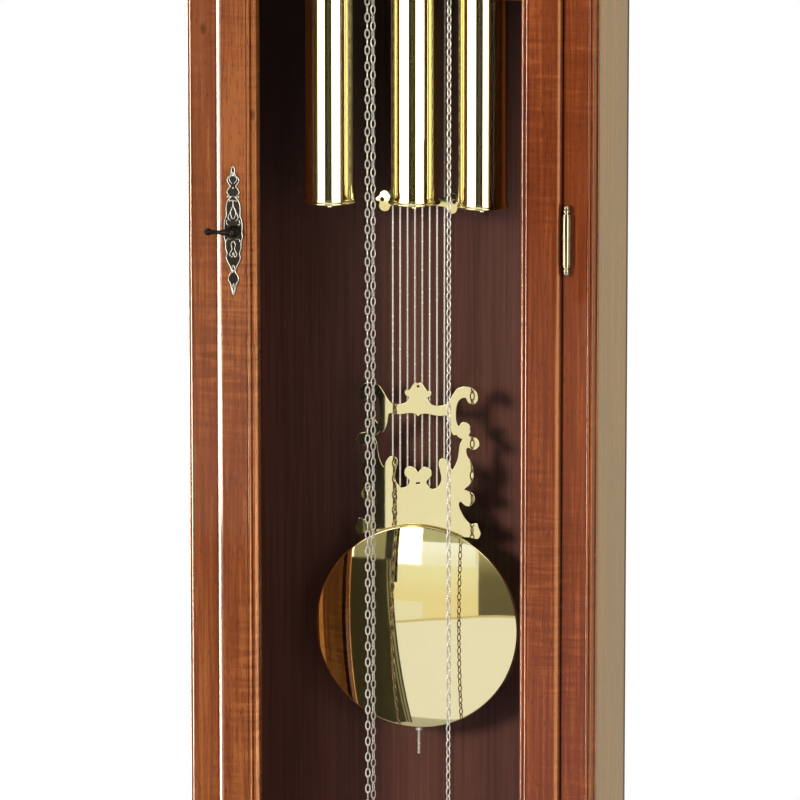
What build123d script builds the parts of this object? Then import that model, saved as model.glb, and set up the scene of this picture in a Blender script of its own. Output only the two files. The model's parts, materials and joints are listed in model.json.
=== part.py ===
from build123d import *
import os
from math import asin, atan2, cos, degrees, radians, sin, sqrt

# Chain-driven longcase clock with a glazed trunk door and a lyre pendulum.
# Millimetres, +Z up, the front faces -Y, and the origin is the middle of the
# footprint on the floor. "depth" counts backwards from the trunk's front face.

os.makedirs("parts", exist_ok=True)

# ---------------------------------------------------------------- driving sizes
# Case
trunk_width = 375.0  # over the beaded corners
trunk_depth = 174.0  # face frame to the back of the backboard
frame_thick = 22.0  # face frame
opening_width = 316.4  # between the case stiles
corner_width = 8.1  # beaded corner, measured across the front
side_recess = 4.0  # side panels stand back from the corners
side_thick = 12.0
back_thick = 8.0
fit_gap = 0.2  # between boards of the case
door_gap = 1.2  # round each door
mitre_gap = 0.1  # glue line in a mitre

# Heights
foot_height = 14.0
base_top = 346.0
hood_height = 500.0  # trunk's top edge to the very top
door_lift = 56.0  # base to the door's bottom edge
door_drop = 48.0  # trunk's top edge down to the door's top edge
throat_height = 30.0
seat_lift = 60.0  # trunk's top edge to the seatboard
seat_thick = 20.0
hood_drop = 48.0  # the hood's boards end this far under the very top
hood_door_lift = 32.0  # trunk's top edge to the hood door
hood_door_drop = 20.0  # hood's top edge down to its door
cornice_height = 62.0
overall_height = 2000.0
roof_thick = 12.0

# Base and hood stand out from the trunk
base_step = 24.5
base_wall = 14.0
base_stile = 52.0
plinth_out = 10.0
plinth_height = 88.0
waist_height = 34.0
hood_step = 22.5
hood_wall = 14.0
cornice_out = 30.0

# Doors
door_thick = 20.0
door_proud = 9.0  # the door's front stands proud of the case
door_stile = 36.5  # glass edge to outer edge
glass_thick = 3.0
glass_lap = 5.7  # the glass reaches this far into its rebate
rebate = 6.0
rebate_depth = 10.5
hood_door_width = 320.0

# Finial hinges
hinge_r = 4.0
hinge_pin_r = 2.0
hinge_length = 43.0
hinge_out = 4.8  # pin axis to the door's edge
hinge_lift = 235.0  # door's bottom edge to the lower hinge
hinge_drop = 249.0  # door's top edge to the upper hinge
hood_hinge_inset = 68.0  # hinge to the hood door's end
leaf_thick = 1.0
run_gap = 0.05  # radial clearance of pins, pivots and arbors

# Escutcheon and key
key_x = -138.5
key_drop = 250.5  # door's top edge to the key
key_shaft_r = 2.4
key_reach = 22.5
plate_height = 118.0
plate_width = 19.0
plate_thick = 1.5
cam_length = 27.0
cam_thick = 2.5

# Trains: axis of each chain sprocket, its pitch radius and its depth
sprocket_r = {"strike": 17.5, "time": 19.1, "chime": 15.4}
sprocket_x = {"strike": -51.9, "time": -12.4, "chime": 55.1}
sprocket_lift = {"strike": 52.0, "time": 72.0, "chime": 52.0}  # over the seatboard
sprocket_depth = {"strike": 66.0, "time": 76.0, "chime": 70.0}
weight_side = {"strike": -1, "time": 1, "chime": 1}
chain_r = 2.6
chain_end_lift = 200.5  # free chain ends over the base
ring_r = 7.0
ring_wire = 1.2

# Weights
weight_hang = 342.0  # seatboard to the wound-up weights' bottoms
weight_height = 243.0
tube_r = 22.0
tube_wall = 1.0
cap_r = 23.7
cap_height = 9.0
core_gap = 0.4
hook_rod_r = 2.0
eye_r = 4.6
eye_wire = 1.3

# Movement
plate_half = 86.0
plate_lift = 91.0  # hands' arbor to the plates' top
plate_metal = 2.5
front_plate_depth = 52.0
plate_space = 42.5
pillar_r = 4.0
arbor_r = 2.2
pivot_r = 1.5
train_module = 0.8
mesh_gap = 0.2
wheel_metal = 1.5
centre_lift = 127.0  # seatboard to the hands' arbor
minute_module = 0.7
dial_depth = 16.0
dial_metal = 2.0
dial_width = 262.0
dial_lift = 4.0  # seatboard to the dial
dial_drop = 28.0  # hood door's top edge down to the dial's
chapter_r = 112.0
chapter_inner_r = 78.0
minute_hand_length = 100.0
hour_hand_length = 66.0

# Pendulum
pivot_lift = 68.0  # hands' arbor to the pendulum's pivot
pendulum_depth = 118.0
pendulum_length = 936.5  # pivot to the bob's middle
bob_r = 94.5
bob_dome = 9.5
bob_rim = 3.0
harp_depth = 121.5
harp_metal = 2.0
wire_r = 0.9
wire_count = 8
wire_pitch = 6.86
wire_top_lift = 633.5  # bob's middle to the top and bottom of the wires
wire_bottom_lift = 123.5
rod_r = 1.6
rod_depth = 127.0
rod_reach = 121.5  # bob's middle to the end of the threaded rod
nut_r = 3.4
nut_height = 4.6

# Chimes
rod_count = 8
chime_pitch = 10.0
chime_first_x = 22.0
chime_rod_r = 2.2
chime_depth = 156.0
chime_block_drop = 8.0  # plates' top down to the rods' block
chime_block_height = 16.0
chime_shortest = 220.0
chime_step = 13.0
hammer_drop = 58.0  # plates' top to the hammers' arbor
hammer_depth = 112.0
hammer_head_r = 4.0

# ---------------------------------------------------------------- worked out
overall_depth = trunk_depth + hood_step + fit_gap + cornice_out
back_y = overall_depth / 2
trunk_half = trunk_width / 2
opening_half = opening_width / 2
hood_half = trunk_half + hood_step
base_half = trunk_half + base_step
door_half = opening_half - door_gap
hood_door_half = hood_door_width / 2
side_out = trunk_half - side_recess
inside_depth = trunk_depth - back_thick

trunk_top = overall_height - hood_height
door_bottom = base_top + door_lift
door_top = trunk_top - door_drop
hinge_heights = (door_bottom + hinge_lift, door_top - hinge_drop)
key_z = door_top - key_drop
hood_top = overall_height - hood_drop
hood_door_bottom = trunk_top + hood_door_lift
hood_door_top = hood_top - hood_door_drop
hood_hinge_heights = (hood_door_bottom + hood_hinge_inset, hood_door_top - hood_hinge_inset)
cornice_bottom = overall_height - cornice_height
seat_bottom = trunk_top + seat_lift
weight_bottom = seat_bottom - weight_hang
chain_end_z = base_top + chain_end_lift
sprocket_z = {train: seat_bottom + lift for train, lift in sprocket_lift.items()}
centre_z = seat_bottom + centre_lift
plate_top = centre_z + plate_lift
pivot_z = centre_z + pivot_lift
dial_bottom = seat_bottom + dial_lift
dial_top = hood_door_top - dial_drop
chime_block_bottom = plate_top - chime_block_drop
hammer_z = plate_top - hammer_drop
bob_z = pivot_z - pendulum_length
wire_top = bob_z + wire_top_lift
wire_bottom = bob_z + wire_bottom_lift
rod_bottom = bob_z - rod_reach


def depth(d):
    """Y of a point that lies d behind the trunk's front face."""
    return back_y - trunk_depth + d


hood_front = depth(-hood_step)
base_front = depth(-base_step)


def front_plane(y, x=0.0, z=0.0):
    """A sketch plane that faces the front: local x is +X and local y is +Z."""
    return Plane(origin=(x, y, z), x_dir=(1, 0, 0), z_dir=(0, -1, 0))


def board(x0, x1, y0, y1, z0, z1, mode=Mode.ADD):
    """A box between two corners."""
    with Locations((x0, y0, z0)):
        Box(x1 - x0, y1 - y0, z1 - z0, align=(Align.MIN, Align.MIN, Align.MIN), mode=mode)


def rod_y(x, z, r, y0, y1, mode=Mode.ADD):
    """A round bar along Y."""
    with BuildSketch(front_plane(y1, x, z)) as disc:
        Circle(r)
    extrude(disc.sketch, amount=y1 - y0, mode=mode)


def rod_z(x, y, r, z0, z1, mode=Mode.ADD):
    """A round bar along Z."""
    with Locations((x, y, z0)):
        Cylinder(r, z1 - z0, align=(Align.CENTER, Align.CENTER, Align.MIN), mode=mode)


def save(piece, name):
    """Label a finished piece and write it."""
    piece.part.label = name
    export_step(piece.part, f"parts/{name}.step")


# ---------------------------------------------------------------- mouldings
def run_of_moulding(half, front, z, outline):
    """A moulding along the left side, the front and the right side of the case.

    outline draws the section: x is outward from the case and y is up."""
    start = (half, back_y, z)
    with BuildPart() as run:
        with BuildLine() as path:
            Polyline(start, (half, front, z), (-half, front, z), (-half, back_y, z))
        with BuildSketch(Plane(origin=start, x_dir=(1, 0, 0), z_dir=(0, -1, 0))):
            with BuildLine():
                outline()
            make_face()
        sweep(path=path.line, transition=Transition.RIGHT)
        for side in (-1, 1):
            with Locations(Location((side * half, front, z), (0, 0, side * 45))):
                Box(mitre_gap, 4 * (cornice_out + side_thick), 4 * plinth_height, mode=Mode.SUBTRACT)
    return run.part


def plinth_outline():
    """Skirting with a rounded top edge."""
    top = plinth_height
    Polyline((fit_gap, top), (fit_gap, 0), (plinth_out, 0), (plinth_out, top - 12))
    ThreePointArc((plinth_out, top - 12), (plinth_out - 2, top - 6), (plinth_out - 7, top - 2))
    Polyline((plinth_out - 7, top - 2), (plinth_out - 7, top), (fit_gap, top))


def waist_outline():
    """Cove that leads from the base in to the trunk."""
    out = base_step + 4
    Polyline((3, waist_height), (-side_recess, waist_height), (-side_recess, 0), (out, 0))
    ThreePointArc((out, 0), (out + 3, 3.5), (out, 7))
    Polyline((out, 7), (out - 4, 7), (out - 4, 9))
    ThreePointArc((out - 4, 9), (8.5, 14.5), (3, waist_height - 3))
    Line((3, waist_height - 3), (3, waist_height))


def throat_outline():
    """Cove that leads from the trunk out to the hood, with the hood's seat on top."""
    out = hood_step + 4
    rise = throat_height
    Polyline((-side_recess, rise + 12), (-side_recess, 0), (3, 0), (3, 3))
    ThreePointArc((3, 3), (7.5, 16), (out - 5, rise - 4))
    Polyline((out - 5, rise - 4), (out - 5, rise), (out, rise))
    ThreePointArc((out, rise), (out + 4, rise + 6), (out, rise + 12))
    Line((out, rise + 12), (-side_recess, rise + 12))


def cornice_outline():
    """Stepped crown moulding."""
    rise = overall_height - roof_thick - cornice_bottom
    out = cornice_out
    Polyline((0, rise), (0, 0), (4, 0), (4, 4))
    ThreePointArc((4, 4), (7, 7), (4, 10))
    Polyline((4, 10), (4, 14))
    ThreePointArc((4, 14), (9.5, 27), (out - 6, rise - 12))
    Polyline((out - 6, rise - 12), (out - 6, rise - 9), (out - 2, rise - 9))
    ThreePointArc((out - 2, rise - 9), (out, rise - 4.5), (out - 2, rise))
    Line((out - 2, rise), (0, rise))


with BuildPart() as plinth:
    add(run_of_moulding(base_half, base_front, 0, plinth_outline))
save(plinth, "plinth")

frame_x = trunk_half + fit_gap
frame_y0 = depth(-fit_gap)
frame_y1 = depth(frame_thick + fit_gap)
throat_bottom = trunk_top - throat_height

with BuildPart() as waist_mouldings:
    add(run_of_moulding(trunk_half, depth(0), base_top + fit_gap, waist_outline))
    add(run_of_moulding(trunk_half, depth(0), throat_bottom, throat_outline))
    # room for the face frame that both runs lie against
    for z0, z1 in ((base_top, base_top + 2 * waist_height), (throat_bottom - 1, trunk_top + fit_gap)):
        board(-frame_x, frame_x, frame_y0, frame_y1, z0, z1, mode=Mode.SUBTRACT)
save(waist_mouldings, "waist_mouldings")
hood_bottom = trunk_top + 12

with BuildPart() as cornice:
    add(run_of_moulding(hood_half + fit_gap, hood_front - fit_gap, cornice_bottom, cornice_outline))
save(cornice, "cornice")

with BuildPart() as roof_board:
    edge = hood_half + cornice_out - 4
    front = hood_front - cornice_out + 4
    board(-edge, edge, front, back_y, overall_height - roof_thick, overall_height)
    fillet(roof_board.edges().filter_by(Axis.Z).group_by(Axis.Y)[0], 6)
    fillet(roof_board.faces().sort_by(Axis.Z)[-1].edges(), 4)
save(roof_board, "roof_board")


# ---------------------------------------------------------------- base
def mitred_frame_member(outward, inner_x, inner_z, middle_z, plane_y, width, outline):
    """One stile or rail, mitred at both ends.

    outline draws the section on x, outward from the opening, and y, towards
    the front. plane_y is the back of the member."""
    along = Vector(*outward).cross(Vector(0, -1, 0))
    vertical = abs(outward[0]) > 0
    inner_half = inner_z if vertical else inner_x
    off = inner_x if vertical else inner_z
    origin = Vector(0, plane_y, middle_z) + Vector(*outward) * off
    with BuildPart() as member:
        with BuildSketch(Plane(origin=origin, x_dir=outward, z_dir=along)):
            with BuildLine():
                outline()
            make_face()
        extrude(amount=inner_half + width, both=True)
        near = inner_half - mitre_gap
        far = near + width
        # the sketch's local y runs towards the back, so it is the depth that is cut through
        mitre = Plane(origin=origin + Vector(0, 4 * door_thick, 0), x_dir=outward, z_dir=(0, -1, 0))
        across = mitre.y_dir.dot(along)
        with BuildSketch(mitre):
            ends = [(0, -near), (0, near), (width, far), (width, -far)]
            Polygon(*[(x, across * along_x) for x, along_x in ends], align=None)
        extrude(amount=8 * door_thick, mode=Mode.INTERSECT)
    return member.part


base_panel_gap = 0.6
base_rail = 46.0
base_mid = (foot_height + base_top) / 2
base_open_x = base_half - base_stile
base_open_z = (base_top - foot_height) / 2 - base_rail
frame_back = base_front + base_wall + 4


with BuildPart() as base_front_panel:
    for side in (-1, 1):
        x0, x1 = sorted((side * base_open_x, side * base_half))
        board(x0, x1, base_front, frame_back, foot_height, base_top)
    rail_end = base_open_x - mitre_gap
    board(-rail_end, rail_end, base_front, frame_back, foot_height, foot_height + base_rail)
    board(-rail_end, rail_end, base_front, frame_back, base_top - base_rail, base_top)
    panel_x = base_open_x - base_panel_gap
    panel_z = base_open_z - base_panel_gap
    with BuildSketch(front_plane(base_front + 12, 0, base_mid)):
        Rectangle(2 * panel_x, 2 * panel_z)
    extrude(amount=7)
    with BuildSketch(front_plane(base_front + 5.05, 0, base_mid)):
        Rectangle(2 * panel_x - 24, 2 * panel_z - 24)
    extrude(amount=5, taper=45)
save(base_front_panel, "base_front_panel")

with BuildPart() as base_carcass:
    for side in (-1, 1):
        x0, x1 = sorted((side * (base_half - base_wall), side * base_half))
        board(x0, x1, frame_back + fit_gap, back_y, foot_height, base_top)
    inner = base_half - base_wall - fit_gap
    panel_front = back_y - back_thick
    for bottom in (foot_height, base_top - 16):
        board(-inner, inner, frame_back + fit_gap, panel_front - fit_gap, bottom, bottom + 16)
    board(-inner, inner, panel_front, back_y, foot_height, base_top)
    foot_x = base_half - 44
    foot_ys = (base_front + 50, back_y - 40)
    for x in (-foot_x, foot_x):
        for y in foot_ys:
            rod_z(x, y, 5 + run_gap, foot_height, foot_height + 16, mode=Mode.SUBTRACT)
save(base_carcass, "base_carcass")

with BuildPart() as levelling_feet:
    for x in (-foot_x, foot_x):
        for y in foot_ys:
            rod_z(x, y, 16, 0, 6)
            rod_z(x, y, 5, 6, foot_height + 12)
            rod_z(x, y, 9, 6, foot_height - 1)
save(levelling_feet, "levelling_feet")


# ---------------------------------------------------------------- trunk
def corner_stile(side, outer_half, inner_half, front_y, z0, z1):
    """A case stile whose outer corner carries three beads."""
    flat = outer_half - corner_width
    with BuildPart() as stile:
        with BuildSketch(Plane(origin=(0, front_y, z0), x_dir=(side, 0, 0), z_dir=(0, 0, side))):
            with BuildLine():
                Polyline((inner_half, frame_thick), (inner_half, 0), (flat, 0), (flat, 1.2))
                ThreePointArc((flat, 1.2), (flat + 1.3, 0), (flat + 2.6, 1.2))
                Line((flat + 2.6, 1.2), (flat + 2.6, 2.8))
                ThreePointArc((flat + 2.6, 2.8), (flat + 4.1, 1.6), (flat + 5.4, 3.2))
                Polyline((flat + 5.4, 3.2), (flat + 5.4, 6), (flat + 6.2, 13))
                ThreePointArc((flat + 6.2, 13), (outer_half - 0.4, 13.8), (outer_half, 15.2))
                Polyline((outer_half, 15.2), (outer_half, frame_thick), (inner_half, frame_thick))
            make_face()
        extrude(amount=side * (z1 - z0))
    return stile.part


def case_leaf_seat(x, z, front_y):
    """Cut the seat of a case hinge leaf into a case stile's inner edge."""
    low = z - hinge_length / 2 - 0.1
    board(x - 1, x + leaf_thick + 0.1, front_y - 1, front_y + 14.2, low, z + 0.1, mode=Mode.SUBTRACT)


with BuildPart() as trunk_face_frame:
    for side in (-1, 1):
        add(corner_stile(side, trunk_half, opening_half, depth(0), base_top, trunk_top))
    # slot that the latch cam turns into
    x0, x1 = -opening_half - 12, -opening_half + 1
    y0 = depth(door_thick - door_proud - 0.4)
    board(x0, x1, y0, y0 + cam_thick + 1.6, key_z - cam_length - 3, key_z + 8, mode=Mode.SUBTRACT)
    for z in hinge_heights:
        case_leaf_seat(opening_half, z, depth(0))
    reach = opening_half - fit_gap
    board(-reach, reach, depth(0), depth(frame_thick), base_top, door_bottom - door_gap)
    board(-reach, reach, depth(0), depth(frame_thick), door_top + door_gap, trunk_top)
save(trunk_face_frame, "trunk_face_frame")

with BuildPart() as trunk_sides:
    for side in (-1, 1):
        x0, x1 = sorted((side * (side_out - side_thick), side * side_out))
        board(x0, x1, depth(frame_thick + fit_gap), depth(inside_depth), base_top, seat_bottom)
save(trunk_sides, "trunk_sides")

with BuildPart() as backboard:
    board(-side_out, side_out, depth(inside_depth + fit_gap), back_y, base_top + fit_gap, hood_top)
    ear = hood_half - hood_wall - fit_gap
    board(-ear, ear, depth(inside_depth + fit_gap), back_y, hood_bottom + fit_gap, hood_top)
save(backboard, "backboard")

# ---------------------------------------------------------------- hood
with BuildPart() as hood_sides:
    for side in (-1, 1):
        x0, x1 = sorted((side * (hood_half - hood_wall), side * hood_half))
        board(x0, x1, hood_front + frame_thick + fit_gap, back_y, hood_bottom, hood_top)
save(hood_sides, "hood_sides")

hood_open = hood_door_half + door_gap

with BuildPart() as hood_frame:
    for side in (-1, 1):
        add(corner_stile(side, hood_half, hood_open, hood_front, hood_bottom, hood_top))
    reach = hood_open - fit_gap
    board(-reach, reach, hood_front, hood_front + frame_thick, hood_bottom, hood_door_bottom - door_gap)
    board(-reach, reach, hood_front, hood_front + frame_thick, hood_door_top + door_gap, hood_top)
    for z in hood_hinge_heights:
        case_leaf_seat(hood_open, z, hood_front)
save(hood_frame, "hood_frame")

slot_half = chain_r + 3.4
strand_x = {
    train: (
        sprocket_x[train] + weight_side[train] * sprocket_r[train],
        sprocket_x[train] - weight_side[train] * sprocket_r[train],
    )
    for train in sprocket_r
}

with BuildPart() as seatboard:
    seat_top = seat_bottom + seat_thick
    board(-side_out, side_out, depth(frame_thick + 2), depth(104), seat_bottom + fit_gap, seat_top)
    for train, (weight_x, free_x) in strand_x.items():
        left = min(weight_x, free_x) - slot_half
        right = max(weight_x, free_x) + slot_half
        y = depth(sprocket_depth[train])
        board(left, right, y - slot_half, y + slot_half, seat_bottom, seat_top + 1, mode=Mode.SUBTRACT)
save(seatboard, "seatboard")

# ---------------------------------------------------------------- doors
bead_r = 1.4


def door_section():
    """Door stile: rebate for the glass, two beads by the glass and a rounded outer edge."""
    wide = door_stile
    top = door_thick
    Polyline((rebate, 0), (wide, 0), (wide, top - 8.5))
    ThreePointArc((wide, top - 8.5), (wide - 1.7, top - 2.4), (wide - 6.2, top))
    Polyline((wide - 6.2, top), (7.8, top), (7.8, top - 2))
    ThreePointArc((7.8, top - 2), (7.8 - bead_r, top - 2 + bead_r), (7.8 - 2 * bead_r, top - 2))
    Polyline((7.8 - 2 * bead_r, top - 2), (7.8 - 2 * bead_r, top - 3.6), (4.2, top - 3.6), (4.2, top - 5))
    ThreePointArc((4.2, top - 5), (2.6, top - 3.6), (0.8, top - 5.4))
    Polyline((0.8, top - 5.4), (0, top - 6.4), (0, rebate_depth), (rebate, rebate_depth), (rebate, 0))


def door_member(outward, half, bottom, top, front_y):
    """One mitred stile or rail of a door."""
    return mitred_frame_member(
        outward,
        half - door_stile,
        (top - bottom) / 2 - door_stile,
        (top + bottom) / 2,
        front_y - door_proud + door_thick,
        door_stile,
        door_section,
    )


def leaf_seat(x, z, front_y):
    """Cut the seat of a door hinge leaf into a stile's outer edge."""
    high = z + hinge_length / 2 + 0.1
    board(x - leaf_thick - 0.1, x + 1, front_y - 3, front_y + 10.2, z - 0.1, high, mode=Mode.SUBTRACT)


trunk_door = (door_half, door_bottom, door_top, depth(0))
hood_door = (hood_door_half, hood_door_bottom, hood_door_top, hood_front)

with BuildPart() as door_left_stile:
    add(door_member((-1, 0, 0), *trunk_door))
    bore_ends = (depth(-2 * door_thick), depth(2 * door_thick))
    rod_y(key_x, key_z, key_shaft_r + run_gap, *bore_ends, mode=Mode.SUBTRACT)
save(door_left_stile, "door_left_stile")

with BuildPart() as door_right_stile:
    add(door_member((1, 0, 0), *trunk_door))
    for z in hinge_heights:
        leaf_seat(door_half, z, depth(0))
save(door_right_stile, "door_right_stile")

with BuildPart() as door_rails:
    add(door_member((0, 0, 1), *trunk_door))
    add(door_member((0, 0, -1), *trunk_door))
save(door_rails, "door_rails")

knob_x = -hood_door_half + door_stile / 2
knob_z = (hood_door_bottom + hood_door_top) / 2


def door_glass(half, bottom, top, front_y):
    """Pane that lies in the rebate, against its front."""
    x = half - door_stile + glass_lap
    low = bottom + door_stile - glass_lap
    high = top - door_stile + glass_lap
    back = front_y - door_proud + door_thick - rebate_depth
    with BuildPart() as pane:
        board(-x, x, back + 0.05, back + 0.05 + glass_thick, low, high)
    return pane.part


with BuildPart() as trunk_door_glass:
    add(door_glass(*trunk_door))
save(trunk_door_glass, "trunk_door_glass")

with BuildPart() as hood_door_glass:
    add(door_glass(*hood_door))
save(hood_door_glass, "hood_door_glass")


def glass_beads(half, bottom, top, front_y):
    """Four strips behind the pane."""
    x = half - door_stile + rebate - fit_gap
    low = bottom + door_stile - rebate + fit_gap
    high = top - door_stile + rebate - fit_gap
    wide = rebate - fit_gap
    back = front_y - door_proud + door_thick
    front = back - rebate_depth + glass_thick + 0.1
    with BuildPart() as strips:
        for side in (-1, 1):
            x0, x1 = sorted((side * x, side * (x - wide)))
            board(x0, x1, front, back, low, high)
        reach = x - wide - fit_gap
        board(-reach, reach, front, back, low, low + wide)
        board(-reach, reach, front, back, high - wide, high)
    return strips.part


with BuildPart() as trunk_glass_beads:
    add(glass_beads(*trunk_door))
save(trunk_glass_beads, "trunk_glass_beads")

with BuildPart() as hood_door_frame:
    for outward in ((1, 0, 0), (-1, 0, 0), (0, 0, 1), (0, 0, -1)):
        add(door_member(outward, *hood_door))
    for z in hood_hinge_heights:
        leaf_seat(hood_door_half, z, hood_front)
    bore_ends = (hood_front - 2 * door_thick, hood_front + 2 * door_thick)
    rod_y(knob_x, knob_z, 2 + run_gap, *bore_ends, mode=Mode.SUBTRACT)
    add(glass_beads(*hood_door))
save(hood_door_frame, "hood_door_frame")


# ---------------------------------------------------------------- hinges
def hinge_axis(half, front_y):
    """Place of a hinge pin seen from above."""
    return half + hinge_out, front_y - hinge_r - 0.4


def case_leaf(half, front_y, z):
    """Lower knuckle with the leaf that lies in the case stile, the pin and its two turned finials."""
    x, y = hinge_axis(half, front_y)
    edge = half + door_gap
    reach = hinge_length / 2
    rod_z(x, y, hinge_r, z - reach, z - 0.15)
    board(edge, edge + leaf_thick, y, front_y + 14, z - reach, z - 0.15)
    rod_z(x, y, hinge_pin_r, z - reach - 3, z + reach + 3)
    for way in (-1, 1):
        for r, near, far in ((3.6, 0.2, 2.4), (2.2, 2.4, 4.2), (3.2, 4.2, 6.0)):
            ends = sorted((z + way * (reach + near), z + way * (reach + far)))
            rod_z(x, y, r, *ends)
        with Locations((x, y, z + way * (reach + 7.6))):
            Sphere(2.9)


def door_leaf(half, front_y, z):
    """Upper knuckle with the leaf that lies in the door's edge."""
    x, y = hinge_axis(half, front_y)
    high = z + hinge_length / 2
    rod_z(x, y, hinge_r, z + 0.15, high)
    board(half - leaf_thick, x, front_y - 2.4, front_y - 1.4, z + 0.15, high)
    board(half - leaf_thick, half, front_y - 2.4, front_y + 10, z + 0.15, high)
    rod_z(x, y, hinge_pin_r + run_gap, z, high + 1, mode=Mode.SUBTRACT)


with BuildPart() as hinge_case_leaves:
    for z in hinge_heights:
        case_leaf(door_half, depth(0), z)
    for z in hood_hinge_heights:
        case_leaf(hood_door_half, hood_front, z)
save(hinge_case_leaves, "hinge_case_leaves")

with BuildPart() as door_hinge_leaves:
    for z in hinge_heights:
        door_leaf(door_half, depth(0), z)
save(door_hinge_leaves, "door_hinge_leaves")

with BuildPart() as hood_door_fittings:
    for z in hood_hinge_heights:
        door_leaf(hood_door_half, hood_front, z)
    # turned knob on its screw
    face = hood_front - door_proud
    rod_y(knob_x, knob_z, 2, face - 6, hood_front + door_thick - door_proud - 3)
    rod_y(knob_x, knob_z, 7, face - 1.6, face - fit_gap)
    rod_y(knob_x, knob_z, 3.4, face - 8, face - 1.6)
    with Locations((knob_x, face - 12, knob_z)):
        Sphere(6.5)
save(hood_door_fittings, "hood_door_fittings")

# ---------------------------------------------------------------- escutcheon and key
face = depth(-door_proud)
plate_mid = key_z + 0.5
escutcheon_half = plate_width / 2
half_height = plate_height / 2

with BuildPart() as escutcheon:
    with BuildSketch(front_plane(face - 0.05, key_x - 1.5, plate_mid)):
        # lozenge-shaped middle, two leafy lobes and a pointed tip each way
        with Locations((0, 0)):
            Ellipse(escutcheon_half - 0.6, 25)
        for way in (-1, 1):
            with Locations((0, way * 24)):
                Ellipse(escutcheon_half - 3.2, 12)
            with Locations((-3.8, way * 33), (3.8, way * 33)):
                Circle(3.2)
            with Locations((0, way * 38)):
                Circle(4.2)
            with Locations((-3.4, way * 43.5), (3.4, way * 43.5)):
                Circle(3)
            with BuildLine():
                Polyline((-3.4, way * 43), (-1.6, way * 50), (0, way * half_height))
                Polyline((0, way * half_height), (1.6, way * 50), (3.4, way * 43))
                Line((3.4, way * 43), (-3.4, way * 43))
            make_face()
    extrude(amount=plate_thick)
    rod_y(key_x, key_z, key_shaft_r + 0.5, face - 4, face + 1, mode=Mode.SUBTRACT)
save(escutcheon, "escutcheon")

with BuildPart() as door_key:
    tip = face - 12
    back = depth(door_thick - door_proud)
    rod_y(key_x, key_z, key_shaft_r, tip, back + 0.4 + cam_thick)
    rod_y(key_x, key_z, 3.6, face - 5, face - plate_thick - 0.4)
    # tapered handle with a ball at its end, turned about X
    with BuildSketch(Plane(origin=(key_x + 5, tip + 2, key_z), x_dir=(-1, 0, 0), z_dir=(0, 0, 1))):
        handle = key_reach + 5
        Circle(2.7)
        with BuildLine():
            Polyline((0, 0), (handle, 0), (handle, 1.7), (0, 2.7), close=True)
        make_face()
        with Locations((handle, 0)):
            Circle(3.4)
        Rectangle(3 * handle, 20, align=(Align.CENTER, Align.MAX), mode=Mode.SUBTRACT)
    revolve(axis=Axis((key_x, tip + 2, key_z), (1, 0, 0)))
    # cam behind the door, hanging down while the latch is open
    board(key_x - 4, key_x + 4, back + 0.4, back + 0.4 + cam_thick, key_z - cam_length, key_z + 4)
save(door_key, "door_key")


# ---------------------------------------------------------------- wheels
def toothed_disc(teeth, module, first_angle):
    """Sketch of a wheel whose first tooth points along first_angle, in degrees."""
    pitch_r = teeth * module / 2
    tip = pitch_r + 0.75 * module
    root = pitch_r - 1.1 * module
    step = 360 / teeth
    corners = []
    for tooth in range(teeth):
        middle = first_angle + tooth * step
        for r, offset in ((root, -0.27), (tip, -0.12), (tip, 0.12), (root, 0.27)):
            angle = radians(middle + offset * step)
            corners.append((r * cos(angle), r * sin(angle)))
    Polygon(*corners, align=None)


def wheel(x, z, teeth, module, first_angle, y0, y1):
    """A toothed disc on its arbor's axis, between two depths."""
    with BuildSketch(front_plane(depth(y1), x, z)) as disc:
        toothed_disc(teeth, module, first_angle)
    extrude(disc.sketch, amount=y1 - y0)


def spokes(x, z, teeth, module, y0, y1, count=5):
    """Cut the windows that leave a wheel its rim and spokes."""
    outer = teeth * module / 2 - 3.4
    inner = outer * 0.34
    with BuildSketch(front_plane(depth(y1 + 1), x, z)) as windows:
        Circle(outer)
        Circle(inner, mode=Mode.SUBTRACT)
        with PolarLocations(0, count):
            Rectangle(2 * outer, 2.4, align=(Align.MIN, Align.CENTER), mode=Mode.SUBTRACT)
    extrude(windows.sketch, amount=y1 - y0 + 2, mode=Mode.SUBTRACT)


def arbor(x, z, front=None, back=None):
    """A steel arbor with its two pivots."""
    inner_front = front_plate_depth + plate_metal + 0.3
    inner_back = front_plate_depth + plate_metal + plate_space - 0.3
    rod_y(x, z, arbor_r, depth(inner_front), depth(inner_back))
    pivot_front = front_plate_depth if front is None else front
    pivot_back = inner_back + plate_metal if back is None else back
    rod_y(x, z, pivot_r, depth(pivot_front), depth(pivot_back))


def meet(centre_a, centre_b, reach_a, reach_b, side):
    """Where two wheels' axes can lie: reach_a from one centre and reach_b from the other."""
    ax, az = centre_a
    bx, bz = centre_b
    gap = sqrt((bx - ax) ** 2 + (bz - az) ** 2)
    along = (reach_a**2 - reach_b**2 + gap**2) / (2 * gap)
    across = side * sqrt(reach_a**2 - along**2)
    ux, uz = (bx - ax) / gap, (bz - az) / gap
    return ax + along * ux - across * uz, az + along * uz + across * ux


def bearing(centre_a, centre_b):
    """Direction from one axis to another, in degrees."""
    return degrees(atan2(centre_b[1] - centre_a[1], centre_b[0] - centre_a[0]))


def reach_of(teeth_a, teeth_b, module):
    """Distance between the axes of two wheels in mesh."""
    return (teeth_a + teeth_b) * module / 2 + mesh_gap


great_teeth = 72
second_teeth = 60
centre_teeth = 64
third_teeth = 60
big_pinion = 12
small_pinion = 8
side_teeth = 60

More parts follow.
